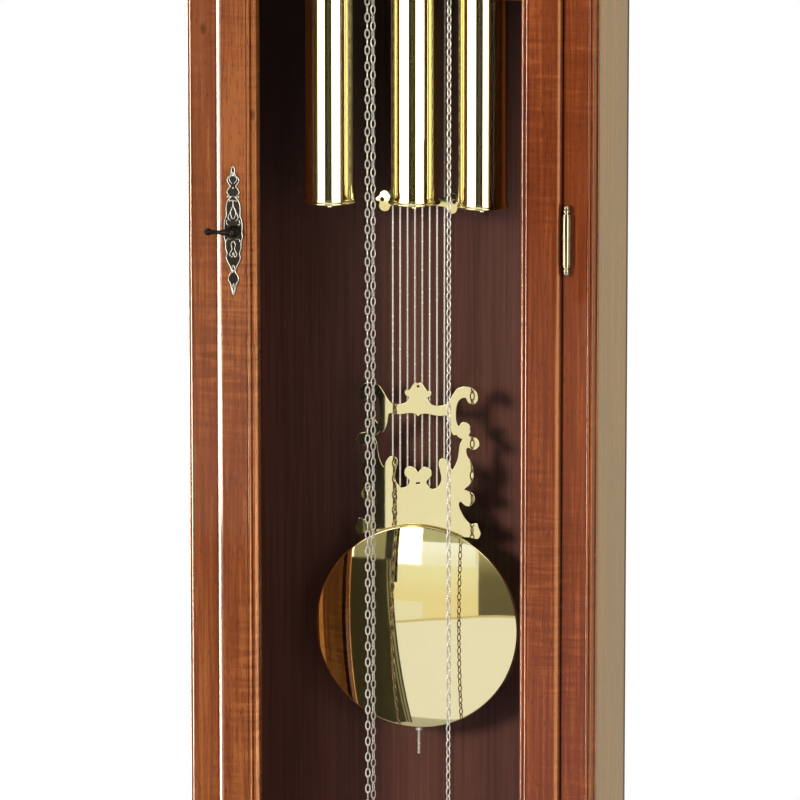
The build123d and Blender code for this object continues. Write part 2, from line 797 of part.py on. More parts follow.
centre_at = (0.0, centre_z)
great_at = (sprocket_x["time"], sprocket_z["time"])
second_at = meet(
    great_at,
    centre_at,
    reach_of(great_teeth, big_pinion, train_module),
    reach_of(second_teeth, big_pinion, train_module),
    1,
)
third_reach = reach_of(centre_teeth, small_pinion, train_module)
escape_reach = reach_of(third_teeth, small_pinion, train_module)
escape_z = centre_z + 39.7
third_at = meet(centre_at, (0.0, escape_z), third_reach, escape_reach, -1)
escape_at = (0.0, escape_z)
anchor_at = (0.0, pivot_z)


def half_tooth(teeth):
    """Half a tooth's step, in degrees."""
    return 180 / teeth


with BuildPart() as time_great_wheel:
    line = bearing(great_at, second_at)
    wheel(*great_at, great_teeth, train_module, line, 83, 84.5)
    spokes(*great_at, great_teeth, train_module, 83, 84.5)
    arbor(*great_at)
save(time_great_wheel, "time_great_wheel")

with BuildPart() as second_wheel:
    line = bearing(second_at, great_at)
    wheel(*second_at, big_pinion, train_module, line + half_tooth(big_pinion), 82, 86)
    line = bearing(second_at, centre_at)
    wheel(*second_at, second_teeth, train_module, line, 89, 90.5)
    spokes(*second_at, second_teeth, train_module, 89, 90.5)
    arbor(*second_at)
save(second_wheel, "second_wheel")

centre_front = 6.0
centre_arbor_r = 2.0

with BuildPart() as centre_wheel:
    line = bearing(centre_at, second_at)
    wheel(*centre_at, big_pinion, train_module, line + half_tooth(big_pinion), 88, 92)
    line = bearing(centre_at, third_at)
    wheel(*centre_at, centre_teeth, train_module, line, 80, 81.5)
    spokes(*centre_at, centre_teeth, train_module, 80, 81.5)
    arbor(*centre_at, front=60)
    rod_y(*centre_at, centre_arbor_r, depth(centre_front), depth(60))
save(centre_wheel, "centre_wheel")

with BuildPart() as third_wheel:
    line = bearing(third_at, centre_at)
    wheel(*third_at, small_pinion, train_module, line + half_tooth(small_pinion), 79, 82.5)
    line = bearing(third_at, escape_at)
    wheel(*third_at, third_teeth, train_module, line, 62, 63.5)
    spokes(*third_at, third_teeth, train_module, 62, 63.5)
    arbor(*third_at)
save(third_wheel, "third_wheel")

escape_teeth = 30
escape_tip_r = 16.0

with BuildPart() as escape_wheel:
    line = bearing(escape_at, third_at)
    wheel(*escape_at, small_pinion, train_module, line + half_tooth(small_pinion), 60.5, 65)
    with BuildSketch(front_plane(depth(71.5), *escape_at)):
        corners = []
        root = escape_tip_r - 4
        for tooth in range(escape_teeth):
            for r, share in ((escape_tip_r, 0.0), (escape_tip_r, 0.12), (root, 0.4), (root, 0.9)):
                angle = radians((tooth + share) * 360 / escape_teeth)
                corners.append((r * cos(angle), r * sin(angle)))
        Polygon(*corners, align=None)
        Circle(escape_tip_r - 6, mode=Mode.SUBTRACT)
        Circle(arbor_r + 2)
        with PolarLocations(0, 4):
            Rectangle(escape_tip_r - 5, 2, align=(Align.MIN, Align.CENTER))
    extrude(amount=1.5)
    arbor(*escape_at)
save(escape_wheel, "escape_wheel")

crutch_depth = 106.0
crutch_bottom = pivot_z - 63
leader_half = 4.0
leader_metal = 2.0
fork_gap = 0.6
pallet_x = 13.2
pallet_z = escape_z + 12.2

with BuildPart() as anchor:
    with BuildSketch(front_plane(depth(71.7))):
        with Locations(anchor_at):
            Circle(5)
        for side in (-1, 1):
            with BuildLine():
                Polyline(
                    (0, pivot_z + 3),
                    (side * (pallet_x + 4), pallet_z + 4),
                    (side * (pallet_x + 2.4), pallet_z + 0.2),
                    (side * pallet_x, pallet_z + 1.2),
                    (side * (pallet_x - 1.4), pallet_z + 4),
                    (0, pivot_z - 4),
                    close=True,
                )
            make_face()
    extrude(amount=2)
    arbor(*anchor_at, back=crutch_depth + 1)
    y = depth(crutch_depth)
    rod_z(0, y, 1.3, crutch_bottom, pivot_z)
    prong_x = leader_half + fork_gap + 1
    board(-prong_x - 1, prong_x + 1, y - 1, y + 1, crutch_bottom - 1, crutch_bottom + 1)
    for side in (-1, 1):
        rod_y(side * prong_x, crutch_bottom, 1, y, depth(pendulum_depth + 5))
save(anchor, "anchor")


def sprocket(train, wheel_front):
    """Chain sprocket between two flanges; the strike and chime ones carry their great wheel."""
    x, z = sprocket_x[train], sprocket_z[train]
    r = sprocket_r[train]
    middle = sprocket_depth[train]
    with BuildPart() as built:
        rod_y(x, z, r - 3, depth(middle - 3.1), depth(middle + 3.1))
        for near in (-4.1, 3.1):
            rod_y(x, z, r + 1, depth(middle + near), depth(middle + near + 1))
        if wheel_front is not None:
            wheel(x, z, side_teeth, train_module, 0, wheel_front, wheel_front + wheel_metal)
            spokes(x, z, side_teeth, train_module, wheel_front, wheel_front + wheel_metal)
            arbor(x, z)
        else:
            rod_y(x, z, arbor_r + run_gap, depth(middle - 10), depth(middle + 10), mode=Mode.SUBTRACT)
    return built.part


with BuildPart() as strike_sprocket:
    add(sprocket("strike", 58))
save(strike_sprocket, "strike_sprocket")

with BuildPart() as time_sprocket:
    add(sprocket("time", None))
save(time_sprocket, "time_sprocket")

with BuildPart() as chime_sprocket:
    add(sprocket("chime", 61))
save(chime_sprocket, "chime_sprocket")

# ---------------------------------------------------------------- motion work and hands
cannon_teeth = 12
minute_teeth = 36
minute_pinion = 10
hour_teeth = 40
cannon_r = 3.0
pipe_r = 4.2
minute_reach = reach_of(cannon_teeth, minute_teeth, minute_module)
hour_module = 2 * (minute_reach - mesh_gap) / (minute_pinion + hour_teeth)
minute_at = (minute_reach * cos(radians(-35)), centre_z + minute_reach * sin(radians(-35)))

with BuildPart() as minute_wheel:
    line = bearing(minute_at, centre_at)
    wheel(*minute_at, minute_teeth, minute_module, line + half_tooth(minute_teeth), 46, 47.5)
    wheel(*minute_at, minute_pinion, hour_module, line, 38, 46.1)
    rod_y(*minute_at, pivot_r, depth(34), depth(front_plate_depth + plate_metal))
save(minute_wheel, "minute_wheel")


def hand(length, boss_r, bore_r, eye_at, eye_r_out, front, metal):
    """A pierced hand that points up: a boss, a shaft, an open eye and a long tip."""
    with BuildPart() as built:
        with BuildSketch(front_plane(depth(front + metal), 0, centre_z)):
            Circle(boss_r)
            with BuildLine():
                Polyline((-1.6, 0), (-2.3, eye_at), (2.3, eye_at), (1.6, 0), close=True)
            make_face()
            with Locations((0, eye_at)):
                Circle(eye_r_out)
            with BuildLine():
                Polyline((-3.4, eye_at + 4), (0, length), (3.4, eye_at + 4), close=True)
            make_face()
            with Locations((0, eye_at)):
                Circle(eye_r_out - 2.2, mode=Mode.SUBTRACT)
            for side in (-1, 1):
                with Locations((side * eye_r_out * 0.8, eye_at - eye_r_out - 1)):
                    Circle(eye_r_out * 0.42)
            Circle(bore_r, mode=Mode.SUBTRACT)
        extrude(amount=metal)
    return built.part


# the cannon pinion drives the minute wheel and carries the minute hand
with BuildPart() as cannon_pinion:
    line = bearing(centre_at, minute_at)
    wheel(*centre_at, cannon_teeth, minute_module, line, 45, 49)
    rod_y(*centre_at, cannon_r, depth(8), depth(51))
    rod_y(*centre_at, centre_arbor_r + run_gap, depth(7), depth(52), mode=Mode.SUBTRACT)

with BuildPart() as minute_hand:
    add(hand(minute_hand_length, 6.0, centre_arbor_r + run_gap, 58, 6.4, 6.6, 1.2))
    add(cannon_pinion.part)
save(minute_hand, "minute_hand")

# the hour wheel's pipe carries the hour hand
with BuildPart() as hour_wheel:
    line = bearing(centre_at, minute_at)
    wheel(*centre_at, hour_teeth, hour_module, line + half_tooth(hour_teeth), 39, 40.5)
    rod_y(*centre_at, pipe_r, depth(12), depth(41))
    rod_y(*centre_at, cannon_r + run_gap, depth(11), depth(42), mode=Mode.SUBTRACT)

with BuildPart() as hour_hand:
    add(hand(hour_hand_length, 7.5, cannon_r + run_gap, 36, 8.0, 10.6, 1.2))
    add(hour_wheel.part)
save(hour_hand, "hour_hand")

# ---------------------------------------------------------------- dial and movement frame
with BuildPart() as dial:
    x = dial_width / 2
    board(-x, x, depth(dial_depth), depth(dial_depth + dial_metal), dial_bottom, dial_top)
    with BuildSketch(front_plane(depth(dial_depth), 0, centre_z)):
        Circle(chapter_r)
        Circle(chapter_inner_r, mode=Mode.SUBTRACT)
    extrude(amount=1)
    with BuildSketch(front_plane(depth(dial_depth), 0, dial_top)):
        with Locations((0, -chapter_r + 12)):
            Circle(82)
            Circle(78, mode=Mode.SUBTRACT)
            Rectangle(200, 100, align=(Align.CENTER, Align.MAX), mode=Mode.SUBTRACT)
    extrude(amount=1)
    rod_y(*centre_at, pipe_r + 1.5, depth(0), depth(30), mode=Mode.SUBTRACT)
save(dial, "dial")

plates_back = front_plate_depth + 2 * plate_metal + plate_space
pillar_x = plate_half - 6
pillar_zs = (seat_bottom + seat_thick + 9, plate_top - 9)
dial_post_x = 70.0
dial_post_zs = (seat_bottom + seat_thick + 40, plate_top - 24)
arbor_spots = [great_at, second_at, centre_at, third_at, escape_at, anchor_at]
arbor_spots += [(sprocket_x[train], sprocket_z[train]) for train in ("strike", "chime")]

with BuildPart() as movement_plates:
    for front in (front_plate_depth, front_plate_depth + plate_metal + plate_space):
        bottom = seat_bottom + seat_thick
        board(-plate_half, plate_half, depth(front), depth(front + plate_metal), bottom, plate_top)
    ends = (depth(front_plate_depth - 1), depth(plates_back + 1))
    for spot in arbor_spots:
        rod_y(*spot, pivot_r + run_gap, *ends, mode=Mode.SUBTRACT)
    middle = depth(front_plate_depth + plate_metal + 5)
    rod_y(*centre_at, centre_arbor_r + run_gap, ends[0], middle, mode=Mode.SUBTRACT)
    rod_y(*minute_at, pivot_r + run_gap, ends[0], middle, mode=Mode.SUBTRACT)
save(movement_plates, "movement_plates")

with BuildPart() as movement_pillars:
    for x in (-pillar_x, pillar_x):
        for z in pillar_zs:
            inner_front = front_plate_depth + plate_metal
            rod_y(x, z, pillar_r, depth(inner_front), depth(inner_front + plate_space))
            # screw heads outside both plates
            rod_y(x, z, 3.2, depth(front_plate_depth - 2), depth(front_plate_depth))
            rod_y(x, z, 3.2, depth(plates_back), depth(plates_back + 2))
    for x in (-dial_post_x, dial_post_x):
        for z in dial_post_zs:
            rod_y(x, z, 3, depth(dial_depth + dial_metal), depth(front_plate_depth))
save(movement_pillars, "movement_pillars")

# ---------------------------------------------------------------- pendulum
leader_top = pivot_z - 20
leader_bottom = wire_top - 16

with BuildPart() as pendulum_leader:
    y = depth(pendulum_depth)
    # suspension spring, its brass block and the flat leader
    board(-3, 3, y - 0.2, y + 0.2, leader_top, pivot_z)
    board(-5, 5, y - 3, y + 3, leader_top - 7, leader_top)
    half = leader_metal / 2
    board(-leader_half, leader_half, y - half, y + half, leader_bottom, leader_top - 7)
    board(-leader_half, leader_half, y, depth(harp_depth), leader_bottom, leader_bottom + 24)
save(pendulum_leader, "pendulum_leader")

harp_back = depth(harp_depth + harp_metal)
wire_y = harp_back + wire_r + 0.1

# the ornament low on the wires, with a pierced lobe at each end
clip_z = bob_z + 391.5
clip_x = 31.5

with BuildPart() as harp:
    with BuildSketch(front_plane(harp_back)):
        with Locations((0, clip_z + 3)):
            RectangleRounded(2 * clip_x, 11, 4)
        with Locations((-clip_x, clip_z), (clip_x, clip_z)):
            Circle(5.5)
        with Locations((-clip_x - 4.2, clip_z + 4.6), (clip_x + 4.2, clip_z + 4.6)):
            Circle(4)
        with Locations((-clip_x - 4, clip_z - 4.4), (clip_x + 4, clip_z - 4.4)):
            Circle(4)
        with Locations((-clip_x - 2, clip_z + 0.4), (clip_x + 2, clip_z + 0.4)):
            Circle(1.6, mode=Mode.SUBTRACT)
        with Locations((0, clip_z + 9)):
            Circle(6)
    extrude(amount=harp_metal)
    with BuildSketch(front_plane(harp_back)):
        with Locations((0, wire_top - 12)):
            RectangleRounded(66, 26, 8)
        with Locations((-33, wire_top - 24), (33, wire_top - 24)):
            Circle(9)
        with Locations((-33, wire_top - 1), (33, wire_top - 1)):
            Circle(7)
        with Locations((-31, wire_top - 44), (31, wire_top - 44)):
            Ellipse(5, 13)
        with Locations((0, wire_top + 4)):
            Ellipse(17, 12)
    extrude(amount=harp_metal)
    for number in range(wire_count):
        x = (number - (wire_count - 1) / 2) * wire_pitch
        rod_z(x, wire_y, wire_r, wire_bottom, wire_top)
save(harp, "harp")

lyre_foot = 84.5  # heights here and in the outline are over the bob's middle
bar_lift = 203.0


def lyre_half(side):
    """One half of the lyre's outline, from its middle line outwards, with heights over the bob's middle."""

    def at(x, z):
        return side * x, bob_z + z

    # lower body with its horn and the dip beside it
    with BuildLine() as edge_line:
        Spline(
            at(11.6, 140.5),
            at(12.4, 133.5),
            at(15.6, 130.5),
            at(19.6, 134.5),
            at(21, 140.5),
            at(19.6, 148.5),
        )
        Spline(
            at(19.6, 148.5),
            at(21.6, 157.5),
            at(26, 155),
            at(28.6, 145.5),
            at(33.4, 148),
            at(37.6, 159.5),
            at(39.4, 171.5),
        )
        Spline(
            at(39.4, 171.5),
            at(45.2, 166.5),
            at(47.4, 156.5),
            at(51.6, 143.5),
            at(49.6, 130.5),
            at(42.6, 123.5),
        )
        Spline(at(42.6, 123.5), at(40.6, 113.5), at(43, 102.5), at(48.5, 93.5), at(52.6, 87), at(49, 83.5))
        Polyline(at(49, 83.5), at(40, lyre_foot), at(0, lyre_foot), at(0, 140.5), at(11.6, 140.5))
    make_face(edge_line.edges())
    # clover in the middle
    with Locations(at(6.5, 144.3)):
        Circle(6.4)
    # lobes up the outside
    with Locations(at(47.2, 121)):
        Circle(6.6)
    with Locations(at(52.6, 89.5)):
        Circle(5.6)
    with Locations(at(51.6, 172.9)):
        Circle(7)
    with Locations(at(44.2, 184.5)):
        Circle(6)
    # arm that rises from the lobes and curls out at the top
    with BuildLine() as edge_line:
        Spline(
            at(38, 165.5),
            at(34.6, 182.5),
            at(30.4, 198.5),
            at(32.6, 211.5),
            at(38.4, 221),
            at(46, 224.7),
        )
        Spline(at(46, 224.7), at(53, 223), at(57, 217), at(56, 210.5))
        Spline(
            at(56, 210.5),
            at(50, 208.1),
            at(45.4, 212.1),
            at(41.2, 212.5),
            at(37.4, 205.5),
            at(36.6, 193.5),
        )
        Spline(at(36.6, 193.5), at(39, 185.5), at(47, 178.5), at(52, 171.5))
        Line(at(52, 171.5), at(38, 165.5))
    make_face(edge_line.edges())
    with Locations(at(51.4, 213.5)):
        Circle(5.7)
    # half of the crossbar, thinnest beside the tulip
    with BuildLine() as edge_line:
        Spline(at(33, 210), at(25, 207), at(16, 207.5), at(10, 211.5))
        Polyline(at(10, 211.5), at(0, 215.5), at(0, bar_lift - 5.6), at(34, bar_lift - 5.6), at(33, 210))
    make_face(edge_line.edges())
    with Locations(at(11, 213.3)):
        Circle(3)
    # half of the tulip
    with BuildLine() as edge_line:
        Spline(at(0, 227.5), at(3, 224.9), at(6.6, 226.1), at(8.4, 219.5), at(10.4, 209.5))
        Polyline(at(10.4, 209.5), at(0, 205.5), at(0, 227.5))
    make_face(edge_line.edges())


with BuildPart() as lyre:
    with BuildSketch(front_plane(harp_back)):
        lyre_half(1)
        lyre_half(-1)
        with Locations((0, bob_z + 136.5)):
            SlotOverall(7, 2.4, rotation=90, mode=Mode.SUBTRACT)
    extrude(amount=harp_metal)
    # block behind the lyre, and the threaded rod that it holds
    stud_bottom = bob_z + 93.5
    board(-5, 5, harp_back, depth(rod_depth + 3), stud_bottom, stud_bottom + 26)
    rod_z(0, depth(rod_depth), rod_r, rod_bottom, stud_bottom + 18)
save(lyre, "lyre")

dome_r = (bob_r**2 + bob_dome**2) / (2 * bob_dome)
bob_back = depth(pendulum_depth + bob_rim / 2)
bob_rim_front = bob_back - bob_rim

with BuildPart() as disc:
    with BuildSketch(Plane.XY):
        with BuildLine():
            tilt = asin(bob_r / dome_r) / 2
            Polyline((bob_r, bob_rim_front), (bob_r, bob_back), (0, bob_back), (0, bob_rim_front - bob_dome))
            ThreePointArc(
                (0, bob_rim_front - bob_dome),
                (dome_r * sin(tilt), bob_rim_front - bob_dome + dome_r * (1 - cos(tilt))),
                (bob_r, bob_rim_front),
            )
        make_face()
    revolve(axis=Axis.Y)

bracket_back = depth(rod_depth + 4)
nut_top = bob_z - bob_r - 0.6

with BuildPart() as bob:
    with Locations((0, 0, bob_z)):
        add(disc.part)
    for bottom, top in ((nut_top + 0.3, nut_top + 12), (bob_z + 62, bob_z + 74)):
        board(-8, 8, bob_back, bracket_back, bottom, top)
        rod_z(0, depth(rod_depth), rod_r + run_gap, bottom - 1, top + 1, mode=Mode.SUBTRACT)
save(bob, "bob")

with BuildPart() as rating_nut:
    rod_z(0, depth(rod_depth), nut_r, nut_top - nut_height, nut_top)
    fillet(rating_nut.edges().filter_by(GeomType.CIRCLE), 1.0)
    rod_z(0, depth(rod_depth), rod_r + run_gap, rod_bottom, nut_top + 1, mode=Mode.SUBTRACT)
save(rating_nut, "rating_nut")

# ---------------------------------------------------------------- weights and chains
core_bottom = weight_bottom + cap_height
core_top = weight_bottom + weight_height - cap_height
weight_top = weight_bottom + weight_height
eye_z = weight_top + 13


def weight_cap(x, y, low):
    """Turned cap with a hole for the hook rod."""
    with BuildPart() as cap:
        rod_z(x, y, cap_r, low, low + cap_height)
        fillet(cap.edges(), 1.6)
        rod_z(x, y, hook_rod_r + run_gap, low - 1, low + cap_height + 1, mode=Mode.SUBTRACT)
    return cap.part


def weight_shell(train):
    """Brass tube closed by two caps."""
    x, y = strand_x[train][0], depth(sprocket_depth[train])
    with BuildPart() as shell:
        rod_z(x, y, tube_r, core_bottom + 0.1, core_top - 0.1)
        rod_z(x, y, tube_r - tube_wall, core_bottom, core_top, mode=Mode.SUBTRACT)
        for low in (weight_bottom, core_top):
            add(weight_cap(x, y, low))
    return shell.part


def weight_core(train):
    """Iron filling on its rod, with a nut below and an eye above."""
    x, y = strand_x[train][0], depth(sprocket_depth[train])
    with BuildPart() as core:
        rod_z(x, y, tube_r - tube_wall - core_gap, core_bottom + 0.2, core_top - 0.2)
        rod_z(x, y, hook_rod_r, weight_bottom - 2, eye_z - eye_r)
        rod_z(x, y, 3.4, weight_bottom - 4.2, weight_bottom - 0.1)
        rod_z(x, y, 4.4, weight_top + 0.1, weight_top + 4)
        with Locations(Location((x, y, eye_z), (90, 0, 0))):
            Torus(eye_r, eye_wire)
    return core.part


def chain(train):
    """The whole chain as a plain tube: up from the weight, over the sprocket and down to its free end."""
    weight_x, free_x = strand_x[train]
    y = depth(sprocket_depth[train])
    z = sprocket_z[train]
    start = (weight_x, y, eye_z + eye_r + eye_wire + 0.3)
    with BuildPart() as tube:
        with BuildLine() as route:
            Line(start, (weight_x, y, z))
            ThreePointArc((weight_x, y, z), (sprocket_x[train], y, z + sprocket_r[train]), (free_x, y, z))
            Line((free_x, y, z), (free_x, y, chain_end_z))
        with BuildSketch(Plane(origin=start, z_dir=(0, 0, 1))):
            Circle(chain_r)
        sweep(path=route.line)
    return tube.part


def end_ring(train):
    """Ring that stops the free end from running through.

    The chime train's ring lies edge on, because it passes close beside its weight."""
    x, y = strand_x[train][1], depth(sprocket_depth[train])
    turn = (0, 90, 0) if train == "chime" else (90, 0, 0)
    with BuildPart() as ring:
        with Locations(Location((x, y, chain_end_z - ring_r - ring_wire - 0.3), turn)):
            Torus(ring_r, ring_wire)
    return ring.part


for train in sprocket_r:
    for kind, make in (
        ("weight_shell", weight_shell),
        ("weight_core", weight_core),
        ("chain", chain),
        ("chain_end_ring", end_ring),
    ):
        with BuildPart() as piece:
            add(make(train))
        save(piece, f"{train}_{kind}")

# ---------------------------------------------------------------- chimes
block_bottom = chime_block_bottom

with BuildPart() as chime_rods:
    last_x = chime_first_x + (rod_count - 1) * chime_pitch
    top = block_bottom + chime_block_height
    board(chime_first_x - 8, last_x + 8, depth(chime_depth - 7), depth(inside_depth), block_bottom, top)
    for number in range(rod_count):
        x = chime_first_x + number * chime_pitch
        length = chime_shortest + number * chime_step
        rod_z(x, depth(chime_depth), chime_rod_r, block_bottom - length, block_bottom)
save(chime_rods, "chime_rods")

hammer_up = 25.0

with BuildPart() as chime_hammers:
    y = depth(hammer_depth)
    with BuildSketch(Plane(origin=(chime_first_x - 8, y, hammer_z), z_dir=(1, 0, 0))):
        Circle(2)
    extrude(amount=last_x - chime_first_x + 16)
    head_front = depth(chime_depth - chime_rod_r - 11.3)
    for number in range(rod_count):
        x = chime_first_x + number * chime_pitch
        board(x - 1, x + 1, y - 1, y + 1, hammer_z, hammer_z + hammer_up)
        board(x - 1, x + 1, y - 1, head_front + 1, hammer_z + hammer_up - 1, hammer_z + hammer_up + 1)
        rod_y(x, hammer_z + hammer_up, hammer_head_r, head_front, head_front + 9)
save(chime_hammers, "chime_hammers")

chop_bottom = pivot_z + 0.3

with BuildPart() as movement_brackets:
    for x in (chime_first_x - 7, last_x + 5):
        board(x, x + 2, depth(plates_back), y + 5, hammer_z - 5, hammer_z + 5)
    with BuildSketch(Plane(origin=(0, y, hammer_z), z_dir=(1, 0, 0))):
        Circle(2 + run_gap)
    extrude(amount=2 * plate_half, mode=Mode.SUBTRACT)
    # cock whose chops hold the suspension spring
    board(-12, 12, depth(plates_back), depth(pendulum_depth + 6), chop_bottom + 8, chop_bottom + 14)
    board(-8, 8, depth(pendulum_depth - 4), depth(pendulum_depth + 4), chop_bottom, chop_bottom + 8)
save(movement_brackets, "movement_brackets")
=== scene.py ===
"""Dresses a chain-driven longcase clock: lacquered cherry case, brass weights, chains and a lyre pendulum."""

import json
from functools import partial
from math import cos, pi, radians, sin, sqrt

import bpy
import numpy as np
from bpy.props import FloatProperty, FloatVectorProperty, PointerProperty
from mathutils import Matrix, Vector

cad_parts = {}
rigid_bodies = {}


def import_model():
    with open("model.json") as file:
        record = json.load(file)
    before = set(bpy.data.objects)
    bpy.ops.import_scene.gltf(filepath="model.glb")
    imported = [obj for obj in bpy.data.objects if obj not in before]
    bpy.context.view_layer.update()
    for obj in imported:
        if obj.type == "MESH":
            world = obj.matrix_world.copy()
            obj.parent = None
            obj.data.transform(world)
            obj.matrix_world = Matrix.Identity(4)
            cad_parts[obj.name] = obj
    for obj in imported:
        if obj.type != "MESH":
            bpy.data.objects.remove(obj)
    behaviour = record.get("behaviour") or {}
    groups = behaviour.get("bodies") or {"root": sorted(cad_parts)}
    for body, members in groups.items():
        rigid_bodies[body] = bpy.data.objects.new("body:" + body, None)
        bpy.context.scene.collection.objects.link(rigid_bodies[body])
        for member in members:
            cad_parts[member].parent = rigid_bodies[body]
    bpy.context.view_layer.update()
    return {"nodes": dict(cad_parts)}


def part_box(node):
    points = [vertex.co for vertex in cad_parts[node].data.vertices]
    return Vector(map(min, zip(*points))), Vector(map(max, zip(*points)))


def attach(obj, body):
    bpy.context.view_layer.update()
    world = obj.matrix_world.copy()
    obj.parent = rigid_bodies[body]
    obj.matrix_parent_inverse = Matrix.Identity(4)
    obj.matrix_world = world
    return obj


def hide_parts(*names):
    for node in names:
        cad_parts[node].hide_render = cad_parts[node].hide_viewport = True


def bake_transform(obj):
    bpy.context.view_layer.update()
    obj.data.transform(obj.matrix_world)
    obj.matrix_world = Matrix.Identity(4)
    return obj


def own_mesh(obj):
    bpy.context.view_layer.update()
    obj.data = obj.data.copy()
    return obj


bl_info = {
    "name": "Longcase clock",
    "version": (1, 0, 0),
    "blender": (4, 5, 0),
    "location": "3D View > Sidebar > Clock",
    "description": "Finishes and fine parts of a chain-driven longcase clock",
    "category": "Object",
}

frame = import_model()
nodes = frame["nodes"]

MM = 0.001
TRAINS = ("strike", "time", "chime")
LACQUERED = (
    "plinth", "waist_mouldings", "trunk_face_frame", "hood_frame", "cornice", "base_front_panel",
    "door_left_stile", "door_right_stile", "door_rails", "hood_door_frame",
)


def linear(hex_colour):
    """sRGB hex to linear RGB."""
    parts = [int(hex_colour[i : i + 2], 16) / 255 for i in (0, 2, 4)]
    return tuple(p / 12.92 if p <= 0.04045 else ((p + 0.055) / 1.055) ** 2.4 for p in parts)


def size(node, axis):
    """Lowest and highest place of a CAD node along one axis, in millimetres."""
    low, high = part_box(node)
    return low[axis] / MM, high[axis] / MM


def centre(node, axis):
    """Middle of a CAD node along one axis, in millimetres."""
    return sum(size(node, axis)) / 2


# ------------------------------------------------------------------ settings
class ClockWood(bpy.types.PropertyGroup):
    tone: FloatVectorProperty(
        name="Cherry", description="Colour of the lacquered cherry", subtype="COLOR", default=linear("874521")
    )
    deep: FloatVectorProperty(
        name="Cherry streak", description="Colour of the darker streaks", subtype="COLOR",
        default=linear("693015")
    )
    pale: FloatVectorProperty(
        name="Cherry light", description="Colour of the paler growth", subtype="COLOR",
        default=linear("A35E2D")
    )
    back: FloatVectorProperty(
        name="Backboard", description="Colour of the dark-stained backboard", subtype="COLOR",
        default=linear("5C382D")
    )
    red: FloatVectorProperty(
        name="Redder boards", description="Tint of the boards on the right", subtype="COLOR",
        default=(0.9, 0.73, 0.66)
    )
    figure: FloatProperty(
        name="Curl pitch", description="Distance between the waves of curly figure", default=0.007,
        unit="LENGTH"
    )


class ClockMetal(bpy.types.PropertyGroup):
    brass: FloatVectorProperty(
        name="Brass", description="Polished and lacquered brass", subtype="COLOR", default=linear("E9DCA6")
    )
    bronze: FloatVectorProperty(
        name="Bronze", description="Darkened bronze of the door plate", subtype="COLOR",
        default=linear("1E1A14")
    )
    worn: FloatVectorProperty(
        name="Worn bronze", description="Rubbed edges of the door plate", subtype="COLOR",
        default=linear("EDE6D2")
    )
    chain: FloatVectorProperty(
        name="Chain", description="Nickel-plated chain wire", subtype="COLOR", default=linear("F4EDDC")
    )


class ClockChain(bpy.types.PropertyGroup):
    pitch: FloatProperty(name="Pitch", description="Inside length of one link", default=0.0074, unit="LENGTH")
    width: FloatProperty(name="Width", description="Outside width of a link", default=0.0053, unit="LENGTH")
    wire: FloatProperty(name="Wire", description="Diameter of the wire", default=0.0013, unit="LENGTH")


class ClockStage(bpy.types.PropertyGroup):
    distance: FloatProperty(name="Distance", description="Camera to the clock", default=6.5, unit="LENGTH")
    lens: FloatProperty(name="Lens", description="Focal length", default=327.6, unit="CAMERA")
    azimuth: FloatProperty(name="Azimuth", description="Camera's angle to the right", default=12.5)
    elevation: FloatProperty(name="Elevation", description="Camera's angle above level", default=11.0)
    floor_radius: FloatProperty(name="Floor", description="Radius of the floor", default=1.9, unit="LENGTH")


# ------------------------------------------------------------------ shader tools
def add_node(tree, kind, settings=None, links=None):
    """One shader node: settings go to its properties or sockets, links to its sockets.

    A node given as a link stands for its first output."""
    node = tree.nodes.new("ShaderNode" + kind)
    for key, value in (settings or {}).items():
        if isinstance(key, str) and hasattr(node, key):
            setattr(node, key, value)
        else:
            node.inputs[key].default_value = value
    for key, source in (links or {}).items():
        socket = source if isinstance(source, bpy.types.NodeSocket) else source.outputs[0]
        tree.links.new(socket, node.inputs[key])
    return node


def new_material(name):
    """An empty node material and what adds nodes to it."""
    material = bpy.data.materials.new(name)
    material.use_nodes = True
    material.node_tree.nodes.clear()
    return material, partial(add_node, material.node_tree)


def rgba(colour):
    """A colour with full cover."""
    return (*colour, 1.0)


def along_grain(add, grain, switch):
    """Coordinates whose third axis runs along the grain, in metres.

    switch is None, or (kind, a, b, grain): stiles and rails or mitred runs that
    lie in one node have their own grain, and the mask between them is worked
    out from the place on the clock."""
    place = add("TexCoord").outputs["Object"]
    xyz = add("SeparateXYZ", links={0: place})
    x, y, z = xyz.outputs
    orders = {"z": (x, y, z), "x": (y, z, x), "y": (z, x, y)}
    first = add("CombineXYZ", links=dict(enumerate(orders[grain])))
    if switch is None:
        return first, x, z, None
    kind, a, b, other = switch
    second = add("CombineXYZ", links=dict(enumerate(orders[other])))
    reach = add("Math", {"operation": "ABSOLUTE"}, {0: x})
    out_x = add("Math", {"operation": "SUBTRACT", 1: a}, {0: reach})
    if kind == "stile":
        mask = add("Math", {"operation": "GREATER_THAN", 1: 0.0}, {0: out_x})
    elif kind == "run":  # sides of a moulding behind the mitre
        back = add("Math", {"operation": "SUBTRACT", 0: b}, {1: y})
        mask = add("Math", {"operation": "GREATER_THAN"}, {0: out_x, 1: back})
    else:  # mitred door frame: b is (middle height, inner half height)
        up = add("Math", {"operation": "SUBTRACT", 1: b[0]}, {0: z})
        up = add("Math", {"operation": "ABSOLUTE"}, {0: up})
        up = add("Math", {"operation": "SUBTRACT", 1: b[1]}, {0: up})
        mask = add("Math", {"operation": "GREATER_THAN"}, {0: out_x, 1: up})
    chosen = add("Mix", {"data_type": "VECTOR"}, {"Factor": mask, 4: first, 5: second})
    return chosen.outputs[1], x, z, mask


